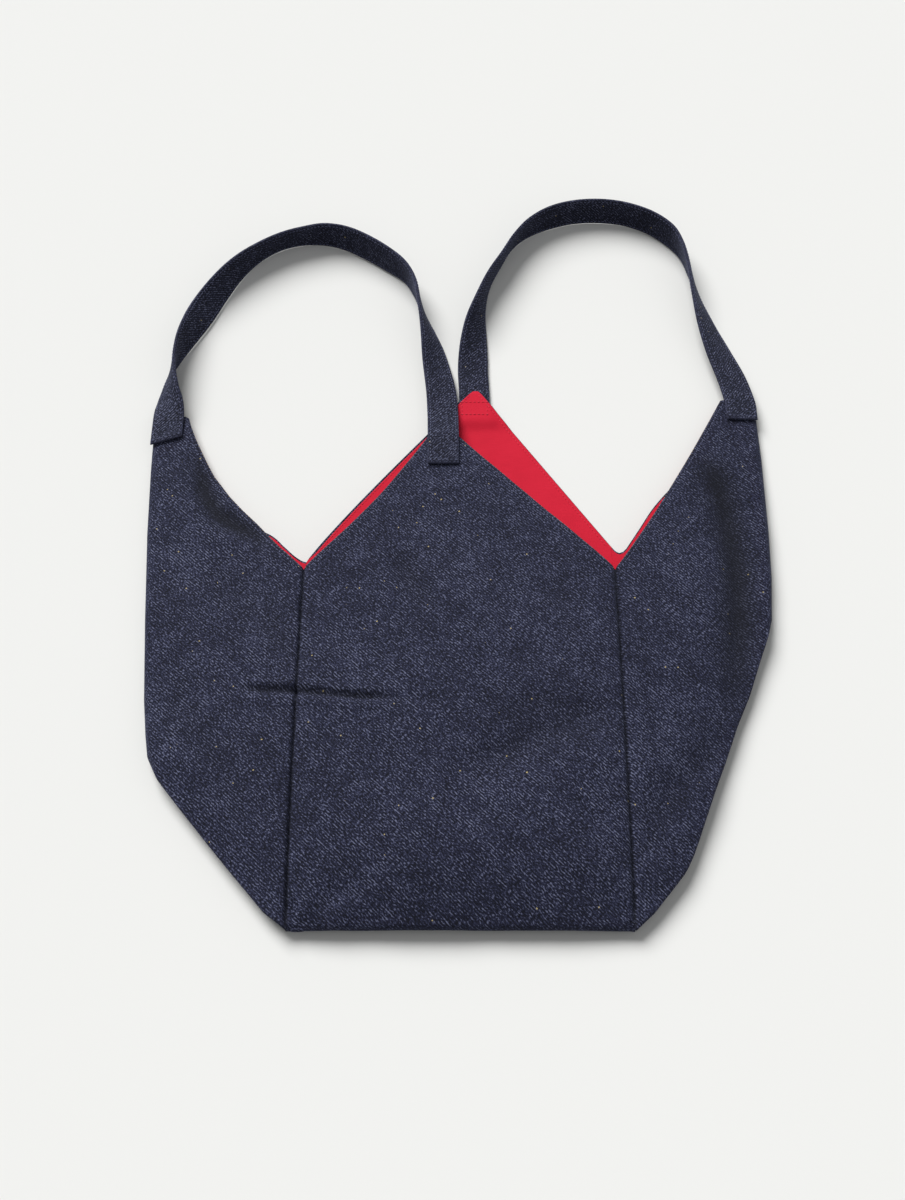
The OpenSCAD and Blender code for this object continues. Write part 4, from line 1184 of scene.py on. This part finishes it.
# Topstitching along both edges of each loop
for name, line, parent, handle, bend in (("left", leftLine, "bag_front", "left_handle", leftBend),
                                         ("right", rightLine, "bag_back", "right_handle", rightBend)):
    centre, way, wide, thick = line
    total = (len(centre) - 1) * strapShape["step"]
    i = (np.arange(0.028, total - 0.028, 0.002) / strapShape["step"]).astype(int)
    lift = bag["strapThick"] / 2 - strapShape["stitchDip"] + 0.00010
    rows = [(centre[i] + wide[i] * across + thick[i] * face * lift, thick[i] * face)
            for face in (1, -1) for across in (-stitchHalf, stitchHalf)]
    piece = layStitches(name + "_strap_stitches", rows, navyStitches, topStitch)
    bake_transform(piece)
print("strap stitches made")


# Seam threads lie deep in the seams between the panels
def seamPiece(name, part, line):
    piece = layStitches(name + "_seam_stitches", [line], navyStitches, seamStitch)
    settle(piece, part, name + "_seam_thread")


for sideName, side in sides.items():
    x, low = side["sign"] * bag["halfWidth"], bag["baseY"] + side["shift"]
    ys = np.linspace(bag["baseY"] + 0.005, bag["notchY"] - 0.002, 120)
    seamPiece("front_" + sideName, "front", topLine(x, ys, -0.0006))
    ys = np.linspace(low + 0.004, bag["notchY"] + side["shift"] - 0.002, 120)
    seamPiece("back_" + sideName, "back", flatLine(x, ys, 0.0005))
xs = np.linspace(-bag["seamX"] + 0.001, bag["seamX"] - 0.001, 100)
seamPiece("base_front", "front", flatLine(xs, bag["baseY"] + 0.0009, 0.0092, up=(0.0, -1.0, 0.0)))
seamPiece("base_back", "back", flatLine(xs, bag["baseY"] + shiftAt(xs) + 0.0012, 0.0006))
print("seam stitches made")

# Floor, camera and light
studio = {
    "floor": (0.80, 0.80, 0.78), "floorBounce": (0.25, 0.25, 0.24), "floorHalf": 6, "floorZ": -0.0006,
    "room": 0.95, "roomLight": 0.20, "sky": (0.96, 0.98, 1.0),
    "suns": {"key": ((-0.80, 1.28, 1.50), 38, 3.7), "fill": ((0.9, -1.0, 1.6), 90, 0.35)},
    "camera": (-0.0054, -0.4492, 1.0326), "tilt": 29, "lens": 45.7, "sensor": 36,
}


def seenShare(f):
    # 1 for a ray from the camera, also by way of a mirror or through glass, or else 0
    path = f.node("ShaderNodeLightPath")
    camera, glossy, clear = (f.other(path, f"Is {kind} Ray") for kind in ("Camera", "Glossy", "Transmission"))
    return f.clamp(camera + glossy + clear)


def makeStage():
    half, z = studio["floorHalf"], studio["floorZ"]
    mesh = bpy.data.meshes.new("floor")
    mesh.from_pydata([(-half, -half, z), (half, -half, z), (half, half, z), (-half, half, z)], [], [(0, 1, 2, 3)])
    f = Nodes(bpy.data.materials.new("floor"))
    tone = f.blendColours(seenShare(f), (*studio["floorBounce"], 1), (*studio["floor"], 1))
    mesh.materials.append(f.close({"Base Color": tone}, {"Roughness": 0.9, "Specular IOR Level": 0.1}))
    addObject("floor", mesh)
    bpy.context.scene.world = bpy.data.worlds.new("room")
    f = Nodes(bpy.context.scene.world)
    strength = seenShare(f) * (studio["room"] - studio["roomLight"]) + studio["roomLight"]
    sky = f.node("ShaderNodeBackground", None, {"Color": (*studio["sky"], 1), "Strength": strength})
    f.node("ShaderNodeOutputWorld", None, {"Surface": sky})
    for name, (source, angle, power) in studio["suns"].items():
        light = bpy.data.lights.new(name, "SUN")
        light.angle, light.energy = math.radians(angle), power
        addObject(name, light).rotation_euler = (-Vector(source)).to_track_quat("-Z", "Y").to_euler()


makeStage()
cameraData = bpy.data.cameras.new("camera")
cameraData.sensor_width, cameraData.sensor_height, cameraData.sensor_fit = studio["sensor"], studio["sensor"], "AUTO"
cameraData.lens = studio["lens"]
camera = addObject("camera", cameraData)
camera.location = studio["camera"]
camera.rotation_euler = (math.radians(studio["tilt"]), 0, 0)
bpy.context.scene.camera = camera
bpy.context.scene.view_settings.view_transform = "Standard"
print("studio made")
